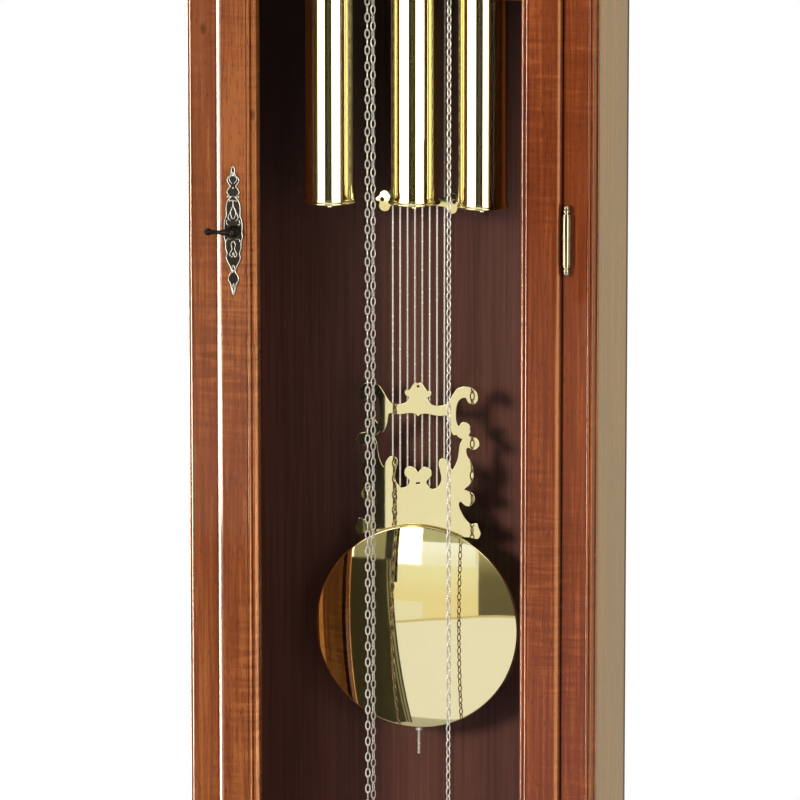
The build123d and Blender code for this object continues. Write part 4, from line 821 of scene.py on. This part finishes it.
class CLOCK_OT_pendulum(bpy.types.Operator):
    """Cut the lyre and the harp, and turn the bob and the rating nut"""

    bl_idname = "clock.pendulum"
    bl_label = "Pendulum"

    def execute(self, context):
        brass = metal_named("brass_polished_and_lacquered")
        plated = metal_named("nickel_plated_wire")
        front_y = size("harp", 1)[0]
        bob_low, bob_high = size("bob", 2)
        bob_z, bob_r = (bob_low + bob_high) / 2, (bob_high - bob_low) / 2
        # lyre: right half of its outline, heights over the bob's middle
        half = [
            (0, 226.2), (2.6, 227.2), (5.0, 224.6), (7.0, 221.4), (8.8, 219.4), (11.4, 219.6), (12.6, 217.2),
            (11.4, 214.2), (9.0, 213.0), (9.4, 211.0), (12.0, 207.8), (16.4, 206.3), (21.0, 206.3),
            (25.6, 207.6), (28.6, 211.0), (30.6, 214.4), (35.6, 221.9), (40.2, 224.4), (45.0, 225.1),
            (50.0, 223.9), (54.0, 220.6), (56.1, 216.6), (55.6, 212.2), (52.6, 208.8), (49.0, 208.6),
            (46.0, 210.7), (44.4, 213.8), (41.0, 213.8), (37.8, 210.7), (36.2, 205.7), (35.6, 198.6),
            (36.2, 191.6), (38.0, 188.0), (39.6, 190.6), (42.4, 192.2), (45.8, 191.4), (48.4, 188.8),
            (49.6, 185.0), (48.4, 181.6), (47.6, 179.6), (50.8, 178.6), (54.4, 177.6), (57.2, 174.2),
            (57.2, 170.4), (54.6, 167.4), (51.4, 166.4), (48.4, 167.4), (46.2, 168.0), (45.4, 166.0),
            (46.4, 160.6), (50.3, 154.0), (52.3, 147.0), (51.7, 140.0), (48.2, 133.8), (43.8, 129.6),
            (46.2, 128.6), (51.0, 126.4), (53.2, 122.4), (52.4, 118.0), (48.6, 114.0), (44.0, 114.2),
            (39.6, 117.6), (38.6, 115.0), (40.0, 110.0), (43.2, 104.0), (46.8, 99.4), (50.0, 97.6),
            (55.4, 98.6), (56.8, 94.6), (58.8, 88.8), (55.6, 83.6), (48.0, 84.6), (40.0, 84.5), (40.0, 84.5),
            (0, 84.5),
        ]
        window = [
            (0, 195.4), (2.8, 197.4), (8.0, 198.0), (14.0, 197.0), (20.0, 196.4), (26.4, 197.0),
            (27.6, 195.0), (28.4, 189.0), (30.4, 182.8), (33.0, 179.2), (35.6, 179.4), (38.0, 177.0),
            (40.8, 175.8), (39.6, 173.0), (38.2, 168.6), (37.2, 161.0), (35.4, 153.8), (32.0, 147.4),
            (30.2, 152.4), (27.2, 156.6), (23.0, 157.6), (19.6, 155.4), (18.8, 151.6), (20.0, 147.0),
            (21.4, 139.0), (20.0, 133.2), (16.2, 129.2), (12.2, 129.2), (9.2, 132.0), (8.2, 135.4),
            (10.6, 138.0), (12.8, 141.4), (12.6, 145.2), (10.6, 147.6), (7.6, 148.9), (4.2, 148.3),
            (1.6, 145.8), (0, 143.8),
        ]
        slot = [(-1.6, 132.6), (1.6, 132.6), (1.6, 134.0), (-1.6, 134.0)]
        eyelet = arc((0, 223.2), 1.1, 0, 330, 11)
        cut = [flowing(mirrored(half)), flowing(mirrored(window)), slot, eyelet]
        thick, edge = 2.0, 0.45
        parts = [plate(cut, thick, edge, facing_front(0, front_y + thick / 2, bob_z))]
        stud_y = size("lyre", 1)
        rod_top, stud_low, stud_high = bob_z + 111, bob_z + 93.5, bob_z + 119.5
        parts.append(soft_box((-5, front_y + thick, stud_low), (5, stud_y[1], stud_high), 0.6))
        rod_y = size("rating_nut", 1)
        rod_at = sum(rod_y) / 2
        rod_low = size("lyre", 2)[0]
        crest, root, turn, turns = 1.55, 1.25, 0.7, 34  # the thread, where the nut runs
        thread = [(0, rod_low), (1.0, rod_low), (crest, rod_low + turn)]
        for k in range(turns):
            thread += [(crest, rod_low + 1.0 + turn * k), (root, rod_low + 1.35 + turn * k)]
        thread += [(crest, rod_low + 25.2), (crest, rod_top), (0, rod_top)]
        parts.append(turned(thread, 20, upright(0, rod_at, 0), 1))
        lyre = new_piece("pendulum_lyre", parts, [brass, plated], 35)
        seat(lyre, "pendulum", "polished_brass", "lyre")

        # harp: wires in steel, an ornament low on them and one at the top
        clip_z = bob_z + 391.5
        low_half = [
            (0, 13.5), (4.6, 12.6), (6.4, 9.4), (9.4, 7.4), (16, 6.4), (23, 6.2), (26.4, 7.6), (28.2, 10.4),
            (31.6, 11.4), (34.8, 9.8), (36.4, 6.6), (39.4, 4.2), (39.0, 1.4), (36.0, 0.6), (36.6, -3.2),
            (34.6, -7.0), (30.6, -8.2), (27.0, -6.4), (25.6, -3.2), (22, -2.0), (14, -1.4), (6, -2.2),
            (0, -3.4),
        ]
        hole = arc((33.4, 3.0), 1.7, 0, 330, 11)
        hole_left = [(-x, z) for x, z in reversed(hole)]
        wire_top = size("harp", 2)[1]
        top_half = [
            (0, 0), (9, -1.4), (14, -5), (17, -9.6), (24, -11.4), (30, -8.6), (36, -9.6), (40.4, -14),
            (40.2, -20), (37.2, -23.6), (40.4, -28), (41.6, -33.6), (38.6, -38), (35.6, -41.6), (36.6, -48),
            (35.4, -55), (32.4, -60.6), (29.4, -57), (27.4, -50), (26.6, -43), (22, -40.6), (12, -41.4),
            (0, -43),
        ]
        ornament_at = facing_front(0, front_y + thick / 2, clip_z)
        top_at = facing_front(0, front_y + thick / 2, wire_top)
        parts = [
            plate([flowing(mirrored(low_half)), hole, hole_left], thick, edge, ornament_at),
            plate([flowing(mirrored(top_half))], thick, edge, top_at)
        ]
        wire_r = 0.9
        wire_y = size("harp", 1)[1] - wire_r
        wire_low = size("harp", 2)[0]
        wires, gap, rows, tucked = 8, 6.86, 12, 12  # tucked: how far the wires end behind the top ornament
        span = wire_top - tucked - wire_low
        for number in range(wires):
            x = (number - (wires - 1) / 2) * gap
            line = [(x, wire_y, wire_low + span * k / rows) for k in range(rows + 1)]
            parts.append(tube(line, wire_r, 12, mark=1))
        harp = new_piece("pendulum_harp", parts, [brass, plated], 35)
        seat(harp, "pendulum", "polished_brass", "harp")

        # bob: spun dome on a flat back, with a turned-over rim
        front, back = size("bob", 1)
        dome, rim, inside = 9.5, 3.0, 1.6  # heights of the two, and how far the dome stays inside the rim
        flat_y = front + dome + rim
        sphere_r = (bob_r**2 + dome**2) / (2 * dome)
        steps = 40
        profile = []
        for k in range(steps):
            r = (bob_r - inside) * k / (steps - 1)
            profile.append((r, rim + dome - (sphere_r - sqrt(sphere_r**2 - r * r))))
        edge = rim / 2 + 0.15
        profile += arc((bob_r - edge, edge), edge, 75, -75, 10)
        profile += [(bob_r - edge - 1, 0.0), (30, 0.0), (0, 0.0)]
        parts = [turned(profile, 160, facing_front(0, flat_y, bob_z))]
        half_tall = 5.8
        for middle in (bob_low + 5.3, bob_z + 68):  # blocks at the back, low and high
            parts.append(soft_box((-8, flat_y, middle - half_tall), (8, back, middle + half_tall), 0.6))
        disc = new_piece("pendulum_bob", parts, [brass], 40)
        seat(disc, "pendulum", "polished_brass", "bob")

        # small round rating nut with a bright face
        nut_low, nut_high = size("rating_nut", 2)
        nut_r = (rod_y[1] - rod_y[0]) / 2
        bore, soft = 1.75, 1.3
        ball = [(bore, nut_low), (nut_r - soft, nut_low)]
        ball += arc((nut_r - soft, nut_low + soft), soft, -80, 0, 5)
        ball += arc((nut_r - soft, nut_high - soft), soft, 0, 80, 5)
        ball += [(bore, nut_high), (bore, nut_low)]
        nut = new_piece("rating_nut_round", [turned(ball, 48, upright(0, rod_at, 0))], [plated], 35)
        seat(nut, "rating_nut", "polished_brass", "rating_nut")
        dress(brass, "pendulum_leader")
        return {"FINISHED"}


class CLOCK_OT_door_fittings(bpy.types.Operator):
    """Cast the escutcheon and the key, and finish the hinges"""

    bl_idname = "clock.door_fittings"
    bl_label = "Door fittings"

    def execute(self, context):
        bronze = darkened_bronze("bronze_cast_and_darkened")
        bright = metal_named("bronze_rubbed_bright")
        x, z = centre("escutcheon", 0), centre("escutcheon", 2)
        face = size("escutcheon", 1)[1]
        half = [
            (0, 59), (1.6, 56), (2.0, 51.5), (4.8, 48.6), (6.0, 46.2), (4.6, 43.0), (2.8, 40.6), (4.6, 38.4),
            (6.2, 35.2), (4.6, 32.6), (2.6, 30.4), (4.6, 28.4), (6.6, 24.4), (7.2, 19.0), (7.0, 13.4),
            (8.4, 10.0), (9.2, 4.6), (8.8, -2.0), (9.4, -6.0), (8.0, -10.0), (7.8, -16.0), (6.4, -21.0),
            (7.2, -25.0), (5.4, -29.6), (3.0, -33.6), (2.0, -38.0), (4.4, -41.6), (5.0, -45.6), (3.0, -49.0),
            (1.8, -54.0), (0, -59),
        ]
        outline = flowing(mirrored(half))
        key_z = z - 0.5
        thick = 1.1
        parts = [plate([outline], thick, 0.25, facing_front(x, face - thick / 2, z))]
        ridge_y = face - thick - 0.1

        def ridge(points, radius, closed=False):
            line = [(x + p[0], ridge_y, z + p[1]) for p in points]
            parts.append(tube(line, radius, 6, closed, 1))

        inset = [(px * 0.9, pz * 0.985) for px, pz in outline]
        ridge(inset, 0.4, True)
        scrolls = [
            [(0, 53), (0.8, 50), (3.4, 47.6), (3.0, 45.0), (1.0, 42.4)],
            [(0.6, 31), (3.4, 29.4), (3.0, 26.4), (0.6, 27.4), (0, 24), (1.4, 19), (4.6, 12), (2.4, 8.6)],
            [(0.4, 21.4), (2.4, 17.4), (1.6, 12.4), (0.6, 10.4)],
            [(5.4, 9.6), (6.2, 6.4), (4.4, 4.8)],
            [(2.2, -8.0), (5.2, -7.6), (6.2, -10)],
            [(0.4, -9.6), (2.0, -12.6), (1.2, -17), (3.4, -21.6), (1.2, -24), (0.4, -20)],
            [(0.2, -31.4), (1.2, -34), (0.6, -38)],
            [(0.2, -48), (0.8, -52), (0.4, -56)],
        ]
        for scroll in scrolls:
            for way in (-1, 1):
                ridge(flowing([(way * px, pz) for px, pz in scroll], False), 0.3)
        for px, pz in ((0, 38.4), (0, 49.8), (4.9, 30.4), (-4.9, 30.4), (0, -36.4)):
            dot = [(0.9, 0), (0.8, 0.5), (0.45, 0.8), (0, 0.95)]
            parts.append(turned(dot, 12, facing_front(x + px, ridge_y + 0.4, z + pz), 1))
        boss = [(6.2, 0), (6.0, 0.9), (5.0, 1.3), (4.4, 0.8), (3.2, 0.7)]
        parts.append(turned(boss, 32, facing_front(x, face - 0.5, key_z), 0))
        scutcheon = new_piece("escutcheon_cast", parts, [bronze, bright], 50)
        seat(scutcheon, "trunk_door", "dark_bronze", "escutcheon")

        # key: bow bar with a ball end, collar, shaft and latch cam
        key_left = size("door_key", 0)[0]
        front, back = size("door_key", 1)
        key_low = size("door_key", 2)[0]
        shaft_x, ball_r = x + 1.5, 3.4
        bar_y = front + ball_r
        ball_x = key_left + ball_r
        reach = shaft_x - ball_x
        bow = [(0, -ball_r)]
        bow += arc((0, 0), ball_r, -90, 38, 12)[1:]
        bow += [(2.0, 3.1), (1.8, 4.0), (2.4, 4.8), (1.7, 5.8), (1.8, 9), (2.3, 13), (3.0, 16.4)]
        bow += [(3.2, reach - 4), (2.5, reach - 2.2), (2.7, reach + 2.2), (1.7, reach + 4.4), (0, reach + 5)]
        lay = upright(ball_x, bar_y, key_z) @ Matrix(((0, 0, 1), (0, 1, 0), (-1, 0, 0))).to_4x4()
        parts = [turned(bow, 24, lay)]
        shaft = [(0, -back), (2.4, -back), (2.4, -(face - 1.7)), (3.6, -(face - 1.9)), (3.6, -(face - 3.4))]
        shaft += [(2.6, -(face - 4.2)), (2.6, -bar_y), (2.3, -(bar_y - 3.0)), (0, -(bar_y - 3.2))]
        parts.append(turned(shaft, 24, facing_front(shaft_x, 0, key_z)))
        parts.append(soft_box((shaft_x - 4, back - 2.5, key_low), (shaft_x + 4, back, key_z + 4), 0.4))
        key = new_piece("door_key_bronze", parts, [bronze], 40)
        seat(key, "door_key", "dark_bronze", "door_key")
        dress(metal_named("brass_polished_and_lacquered"), "hood_door_fittings")
        dress(metal_named("bronze_dark_polished"), "hinge_case_leaves", "door_hinge_leaves")
        return {"FINISHED"}


class CLOCK_OT_dial(bpy.types.Operator):
    """Print the dial and finish the hands"""

    bl_idname = "clock.dial"
    bl_label = "Dial and hands"

    def execute(self, context):
        ink = painted("dial_ink_black", linear("1A1815"), 0.4)
        centre_z = centre("centre_wheel", 2)
        front = size("dial", 1)[0]
        parts = []
        numeral_r, ticks_from, ticks_to, hours_from = 94.0, 106.0, 110.0, 104.0
        numerals = ("XII", "I", "II", "III", "IIII", "V", "VI", "VII", "VIII", "IX", "X", "XI")
        for number, text in enumerate(numerals):
            curve = bpy.data.curves.new("numeral", "FONT")
            curve.body = text
            curve.size = 0.024
            curve.extrude = 0.00012
            curve.align_x = "CENTER"
            curve.align_y = "CENTER"
            turn = -2 * pi * number / 12
            spot = Matrix.Rotation(turn, 4, "Z") @ Matrix.Translation((0, numeral_r * MM, 0))
            place = facing_front(0, front - 0.12, centre_z) @ spot
            parts.append((*meshed(curve, place), 0))
        for minute in range(60):
            wide, inner = (0.9, hours_from) if minute % 5 == 0 else (0.35, ticks_from)
            mark = [(-wide, inner), (wide, inner), (wide, ticks_to), (-wide, ticks_to)]
            place = facing_front(0, front - 0.1, centre_z) @ Matrix.Rotation(-2 * pi * minute / 60, 4, "Z")
            parts.append(plate([mark], 0.2, 0.05, place))
        for radius in (ticks_to, ticks_from):
            ring = [arc((0, 0), radius + 0.25, 0, 358, 179), arc((0, 0), radius - 0.25, 0, 358, 179)]
            parts.append(plate(ring, 0.2, 0.05, facing_front(0, front - 0.1, centre_z)))
        marks = new_piece("dial_markings", parts, [ink], 30)
        seat(marks, "case", "silvered_dial")
        dress(self.dial_face(centre_z), "dial")
        dress(metal_named("steel_blued"), "minute_hand", "hour_hand")
        return {"FINISHED"}

    def dial_face(self, centre_z):
        """Brass dial plate, grained satin, with a silvered chapter ring: pale ring on warm gold."""
        material, add = new_material("dial_brass_and_silvered_ring")
        outer, inner = 0.1121, 0.0779  # the ring's radii
        place = add("TexCoord").outputs["Object"]
        middle = add("VectorMath", {"operation": "SUBTRACT", 1: (0, 0, centre_z * MM)}, {0: place})
        flat = add("VectorMath", {"operation": "MULTIPLY", 1: (1, 0, 1)}, {0: middle})
        far = add("VectorMath", {"operation": "LENGTH"}, {0: flat})
        outside = add("Math", {"operation": "LESS_THAN", 1: outer}, {0: far.outputs["Value"]})
        inside = add("Math", {"operation": "GREATER_THAN", 1: inner}, {0: far.outputs["Value"]})
        ring = add("Math", {"operation": "MULTIPLY"}, {0: outside, 1: inside})
        grain_at = add("Mapping", {"Scale": (90, 1, 2500)}, {"Vector": place})
        grain = add("TexNoise", {"Scale": 1.0, "Detail": 2.0}, {"Vector": grain_at})
        rough = add("MapRange", {"To Min": 0.25, "To Max": 0.5}, {"Value": grain})
        colour = add(
            "Mix", {"data_type": "RGBA", 6: rgba(linear("D8BC74")), 7: rgba(linear("E6E3DA"))},
            {"Factor": ring}
        )
        shader = add(
            "BsdfPrincipled", {"Metallic": 0.85}, {"Base Color": colour.outputs[2], "Roughness": rough}
        )
        add("OutputMaterial", links={"Surface": shader})
        return material


class CLOCK_OT_movement(bpy.types.Operator):
    """Finish the movement and the chimes"""

    bl_idname = "clock.movement"
    bl_label = "Movement"

    def execute(self, context):
        brass = metal_named("brass_satin_movement")
        dress(brass, "movement_plates", "centre_wheel", "second_wheel", "time_great_wheel")
        dress(brass, "third_wheel", "escape_wheel", "minute_wheel")
        dress(brass, *(f"{train}_sprocket" for train in TRAINS))
        steel = metal_named("steel_polished")
        dress(steel, "movement_pillars", "movement_brackets", "anchor", "chime_rods", "chime_hammers")
        return {"FINISHED"}


class CLOCK_OT_stage(bpy.types.Operator):
    """Set the floor, the lamps, the studio cards, the world and the camera"""

    bl_idname = "clock.stage"
    bl_label = "Studio"

    def execute(self, context):
        stage = context.scene.clock_stage
        scene = context.scene
        scene.view_settings.view_transform = "Standard"
        self.floor(stage)
        self.cards()
        self.lamps()
        self.world(scene)
        aim = Vector((0.0102, -0.06065, 1.05243))  # middle of the view
        a, e = radians(stage.azimuth), radians(stage.elevation)
        out = Vector((sin(a) * cos(e), -cos(a) * cos(e), sin(e)))
        data = bpy.data.cameras.new("camera")
        data.lens = stage.lens
        data.sensor_width = 36.0
        data.clip_end = 100.0
        camera = bpy.data.objects.new("camera", data)
        scene.collection.objects.link(camera)
        camera.location = aim + out * stage.distance
        camera.rotation_mode = "QUATERNION"
        camera.rotation_quaternion = (-out).to_track_quat("-Z", "Y")
        scene.camera = camera
        return {"FINISHED"}

    def floor(self, stage):
        """A pale floor that fades out, so that the backdrop stays white."""
        material, add = new_material("floor_pale")
        place = add("TexCoord").outputs["Object"]
        far = add("VectorMath", {"operation": "LENGTH"}, {0: place})
        fade = add(
            "MapRange",
            {
                "interpolation_type": "SMOOTHSTEP", "From Min": stage.floor_radius * 0.45,
                "From Max": stage.floor_radius * 0.98
            },
            {"Value": far.outputs["Value"]},
        )
        grit = add("TexNoise", {"Scale": 400.0, "Detail": 2.0}, {"Vector": place})
        shade = add(
            "Mix", {"data_type": "RGBA", 6: (0.86, 0.86, 0.86, 1), 7: (0.9, 0.9, 0.9, 1)}, {"Factor": grit}
        )
        matt = add("BsdfDiffuse", {"Roughness": 0.9}, {"Color": shade.outputs[2]})
        clear = add("BsdfTransparent")
        mixed = add("MixShader", links={0: fade, 1: matt, 2: clear})
        add("OutputMaterial", links={"Surface": mixed})
        ring = [(0, -0.4), (stage.floor_radius / MM, -0.4)]
        ground = new_piece("floor", [turned(ring, 96, upright(0, 0, 0))], [material])

    def card(self, name, place_at, outline, low, high=None, across="y", only=None):
        """A card that only shiny things see, upright across an axis, from its low colour to its high one."""
        material, add = new_material(name)
        zs = [z for _, z in outline]
        place = add("TexCoord").outputs["Object"]
        z = add("SeparateXYZ", links={0: place}).outputs[2]
        share = add(
            "MapRange", {"interpolation_type": "SMOOTHSTEP", "From Min": min(zs), "From Max": max(zs)},
            {"Value": z}
        )
        colour = add(
            "Mix", {"data_type": "RGBA", "clamp_result": False, 6: rgba(low), 7: rgba(high or low)},
            {"Factor": share}
        )
        light = add("Emission", links={"Color": colour.outputs[2], "Strength": self.sharp(add)})
        add("OutputMaterial", links={"Surface": light})
        if across == "y":
            corners = [(along, place_at, up) for along, up in outline]
        else:
            corners = [(place_at, along, up) for along, up in outline]
        board = new_piece(name, [(corners, [tuple(range(len(corners)))], 0)], [material])
        board.visible_camera = False
        board.visible_diffuse = False
        board.visible_shadow = False
        if only:
            board.light_linking.receiver_collection = only

    def sharp(self, add):
        """1 for what mirrors show the eye, 0 after a matt bounce, so that brass throws no patches."""
        depth = add("LightPath").outputs["Diffuse Depth"]
        return add("Math", {"operation": "LESS_THAN", 1: 0.5}, {0: depth})

    def cards(self):
        """Softboxes and flags, where polished brass shows them."""

        def box(x0, x1, z0, z1):
            return [(x0, z0), (x1, z0), (x1, z1), (x0, z1)]

        wood = bpy.data.collections.new("case_wood")
        metal = bpy.data.collections.new("all_but_case_wood")
        for thing in bpy.context.scene.objects:
            (wood if thing.name in LACQUERED else metal).objects.link(thing)
        white, dark = (3.2, 3.2, 3.2), (0.012, 0.011, 0.008)
        # round the weights: a softbox on each side of the dark camera stand
        left = [
            (-1.25, 0.95), (-0.4, 0.95), (-0.3, 1.085), (-0.24, 1.1), (-0.16, 1.1), (-0.16, 1.6), (-1.25, 1.6)
        ]
        right = [(0.2, 1.09), (0.35, 1.07), (0.5, 0.95), (1.2, 0.95), (1.2, 1.6), (0.2, 1.6)]
        self.card("softbox_upper_left", -0.6, left, white, only=metal)
        self.card("stand_upper_left", -0.6, box(-0.16, -0.03, 1.1, 1.6), dark)
        self.card("stand_upper_grey", -0.6, box(-0.03, 0.06, 1.094, 1.6), (0.05, 0.05, 0.04))
        self.card("stand_upper_right", -0.6, box(0.06, 0.2, 1.09, 1.6), dark)
        self.card("softbox_upper_right", -0.6, right, white, only=metal)
        # in front of the bob and the lyre: a dark flag at the left, close by, with a rolled edge
        lower = [(-0.1, 0.893), (-0.0955, 0.82), (-0.091, 0.757), (-0.075, 0.546)]
        strips = (
            (0.0035, (0.004, 0.004, 0.003)), (0.0075, (0.3, 0.28, 0.2)), (0.0105, (0.02, 0.018, 0.012)),
            (0.013, (0.32, 0.3, 0.2))
        )
        near = 0.0
        for number, (far, colour) in enumerate(strips):
            outline = [(x - near, z) for x, z in lower] + [(x - far, z) for x, z in reversed(lower)]
            self.card(f"flag_edge_{number}", -0.2, outline, colour)
            near = far
        outline = [(x - near, z) for x, z in lower] + [(-0.6, 0.4), (-0.6, 0.893)]
        self.card("flag_left", -0.2, outline, (0.036, 0.03, 0.016))
        self.card("flag_left_top", -0.2, box(-0.117, -0.089, 0.85, 1.02), (0.008, 0.007, 0.006))
        # the room behind the camera: softbox, warm wall, dark doorway, pale floor
        self.card("softbox_far", -2.5, box(-0.87, -0.48, 0.96, 1.7), white)
        self.card("softbox_far_left", -2.6, box(-4.2, -1.35, 0.4, 2.3), white)
        room = (
            ("wall_olive", (-1.35, -0.87, 0.96, 1.7), (0.3, 0.28, 0.18), (0.42, 0.4, 0.28)),
            ("wall_cream", (-0.48, 0.13, 0.96, 1.22), (1.05, 1.1, 1.2), (1.15, 1.25, 1.6)),
            ("wall_top", (-0.48, 1.4, 1.22, 1.7), (0.55, 0.55, 0.45), (0.3, 0.3, 0.25)),
            ("wall_warm", (-0.88, 0.165, 0.55, 0.96), (0.98, 0.9, 0.66), (1.02, 1.03, 0.9)),
            ("wall_warm_low", (-0.46, 0.165, 0.1, 0.55), (0.98, 0.88, 0.6), (0.98, 0.9, 0.66)),
            ("doorway_top", (0.165, 1.4, 0.8, 1.22), (0.16, 0.14, 0.09), (0.5, 0.46, 0.3)),
            ("doorway", (0.165, 1.4, 0.1, 0.8), (0.1, 0.09, 0.07), (0.16, 0.14, 0.09)),
        )
        for name, edges, low, high in room:
            self.card(name, -2.5, box(*edges), low, high)
        rise = [(-0.5, 0.575), (-0.33, 0.6), (-0.15, 0.628), (-0.02, 0.641), (0.08, 0.652), (0.2, 0.655)]
        rise += [(0.32, 0.648), (0.6, 0.62)]
        lifted = [(x, z + 0.012) for x, z in rise]
        self.card("floor_edge", -1.0, lifted + list(reversed(rise)), (0.72, 0.62, 0.4))
        self.card(
            "floor_pale_far", -1.0, [(-0.5, 0.02), (0.6, 0.02)] + list(reversed(rise)), (1.0, 1.02, 1.15)
        )
        # a narrow board before the upper hinge keeps the middle of its barrel dark, between two bright lines
        self.card("board_hinge", -0.1, box(0.1595, 0.1815, 1.14, 1.25), dark)
        # at the right of the case: a warm grey wall that its side shows
        self.card("wall_behind", 2.2, box(0.35, 2.4, 0.02, 2.4), (0.8, 0.74, 0.44))
        # strips beside the clock that its rounded edges catch
        self.card("strip_left", -1.7, box(-1.9, 1.0, 0.0, 2.3), (56, 52, 44), None, "x", wood)
        self.card("strip_right", 1.7, box(-1.6, 0.2, 0.0, 2.3), (13.0, 8.2, 3.8), None, "x", wood)

    def lamps(self):
        """Soft lamps that mirrors don't show, and two that only the wood takes."""

        def soft_lamp(name, at, towards, wide, power):
            data = bpy.data.lights.new(name, "AREA")
            data.shape = "DISK"
            data.size = wide
            data.energy = power
            lamp = bpy.data.objects.new(name, data)
            bpy.context.scene.collection.objects.link(lamp)
            lamp.location = at
            lamp.rotation_mode = "QUATERNION"
            lamp.rotation_quaternion = (Vector(towards) - Vector(at)).to_track_quat("-Z", "Y")
            lamp.visible_glossy = False
            return lamp

        def only_on_wood(lamp, tall, colour):
            lamp.data.shape = "RECTANGLE"
            lamp.data.size_y = tall
            lamp.data.color = colour
            lamp.light_linking.receiver_collection = bpy.data.collections["case_wood"]

        soft_lamp("key", (-1.9, -3.6, 2.0), (0, 0, 1.05), 0.9, 135)
        soft_lamp("fill", (2.2, -3.4, 1.7), (0, 0, 1.0), 1.8, 24)
        soft_lamp("side", (3.0, -0.6, 1.8), (0, 0, 1.1), 1.4, 20)
        # the wood sees the upper left softbox faintly, and only in its gloss
        sheen = soft_lamp("sheen_upper_left", (-0.7, -0.6, 1.34), (-0.7, 0.0, 1.34), 1.1, 1.9)
        only_on_wood(sheen, 0.52, (0.92, 1.0, 0.74))
        sheen.visible_glossy = True
        sheen.visible_diffuse = False
        # what the bob throws back onto the inner edge of the left stile, which its rim then shows
        bounce = soft_lamp("bob_bounce", (0.12, 0.0, 0.75), (-0.14, -0.02, 0.75), 0.08, 4.2)
        only_on_wood(bounce, 0.7, (0.6, 1.0, 1.5))
        bounce.visible_camera = False
        bounce.visible_transmission = False

    def world(self, scene):
        """White to the eye and in mirrors, dim as a light."""
        world = bpy.data.worlds.new("studio")
        scene.world = world
        world.use_nodes = True
        world.node_tree.nodes.clear()
        add = partial(add_node, world.node_tree)
        path = add("LightPath")
        seen = add(
            "Math", {"operation": "MAXIMUM"},
            {0: path.outputs["Is Camera Ray"], 1: path.outputs["Is Glossy Ray"]}
        )
        seen = add("Math", {"operation": "MAXIMUM"}, {0: seen, 1: path.outputs["Is Transmission Ray"]})
        seen = add("Math", {"operation": "MULTIPLY"}, {0: seen, 1: self.sharp(add)})
        dim = 0.28  # what reaches matt things
        level = add("MapRange", {"To Min": dim, "To Max": 1.0}, {"Value": seen})
        light = add("Background", {"Color": (1.0, 1.0, 1.0, 1.0)}, {"Strength": level})
        add("OutputWorld", links={"Surface": light})


class CLOCK_PT_panel(bpy.types.Panel):
    """The clock's groups and their settings"""

    bl_idname = "CLOCK_PT_panel"
    bl_label = "Longcase clock"
    bl_space_type = "VIEW_3D"
    bl_region_type = "UI"
    bl_category = "Clock"

    def draw(self, context):
        for group in ("clock_wood", "clock_metal", "clock_chain", "clock_stage"):
            settings = getattr(context.scene, group)
            box = self.layout.box()
            for name in settings.__annotations__:
                box.prop(settings, name)
        for step in STEPS:
            self.layout.operator(step.bl_idname)


STEPS = (
    CLOCK_OT_case, CLOCK_OT_weights, CLOCK_OT_chains, CLOCK_OT_pendulum, CLOCK_OT_door_fittings,
    CLOCK_OT_dial, CLOCK_OT_movement, CLOCK_OT_stage,
)
GROUPS = {
    "clock_wood": ClockWood, "clock_metal": ClockMetal, "clock_chain": ClockChain, "clock_stage": ClockStage
}


def register():
    for name, group in GROUPS.items():
        bpy.utils.register_class(group)
        setattr(bpy.types.Scene, name, PointerProperty(type=group))
    for item in (*STEPS, CLOCK_PT_panel):
        bpy.utils.register_class(item)


def unregister():
    for item in (CLOCK_PT_panel, *reversed(STEPS)):
        bpy.utils.unregister_class(item)
    for name, group in GROUPS.items():
        delattr(bpy.types.Scene, name)
        bpy.utils.unregister_class(group)


def main():
    register()
    for step in STEPS:
        group, name = step.bl_idname.split(".")
        getattr(getattr(bpy.ops, group), name)()


if __name__ == "__main__":
    main()
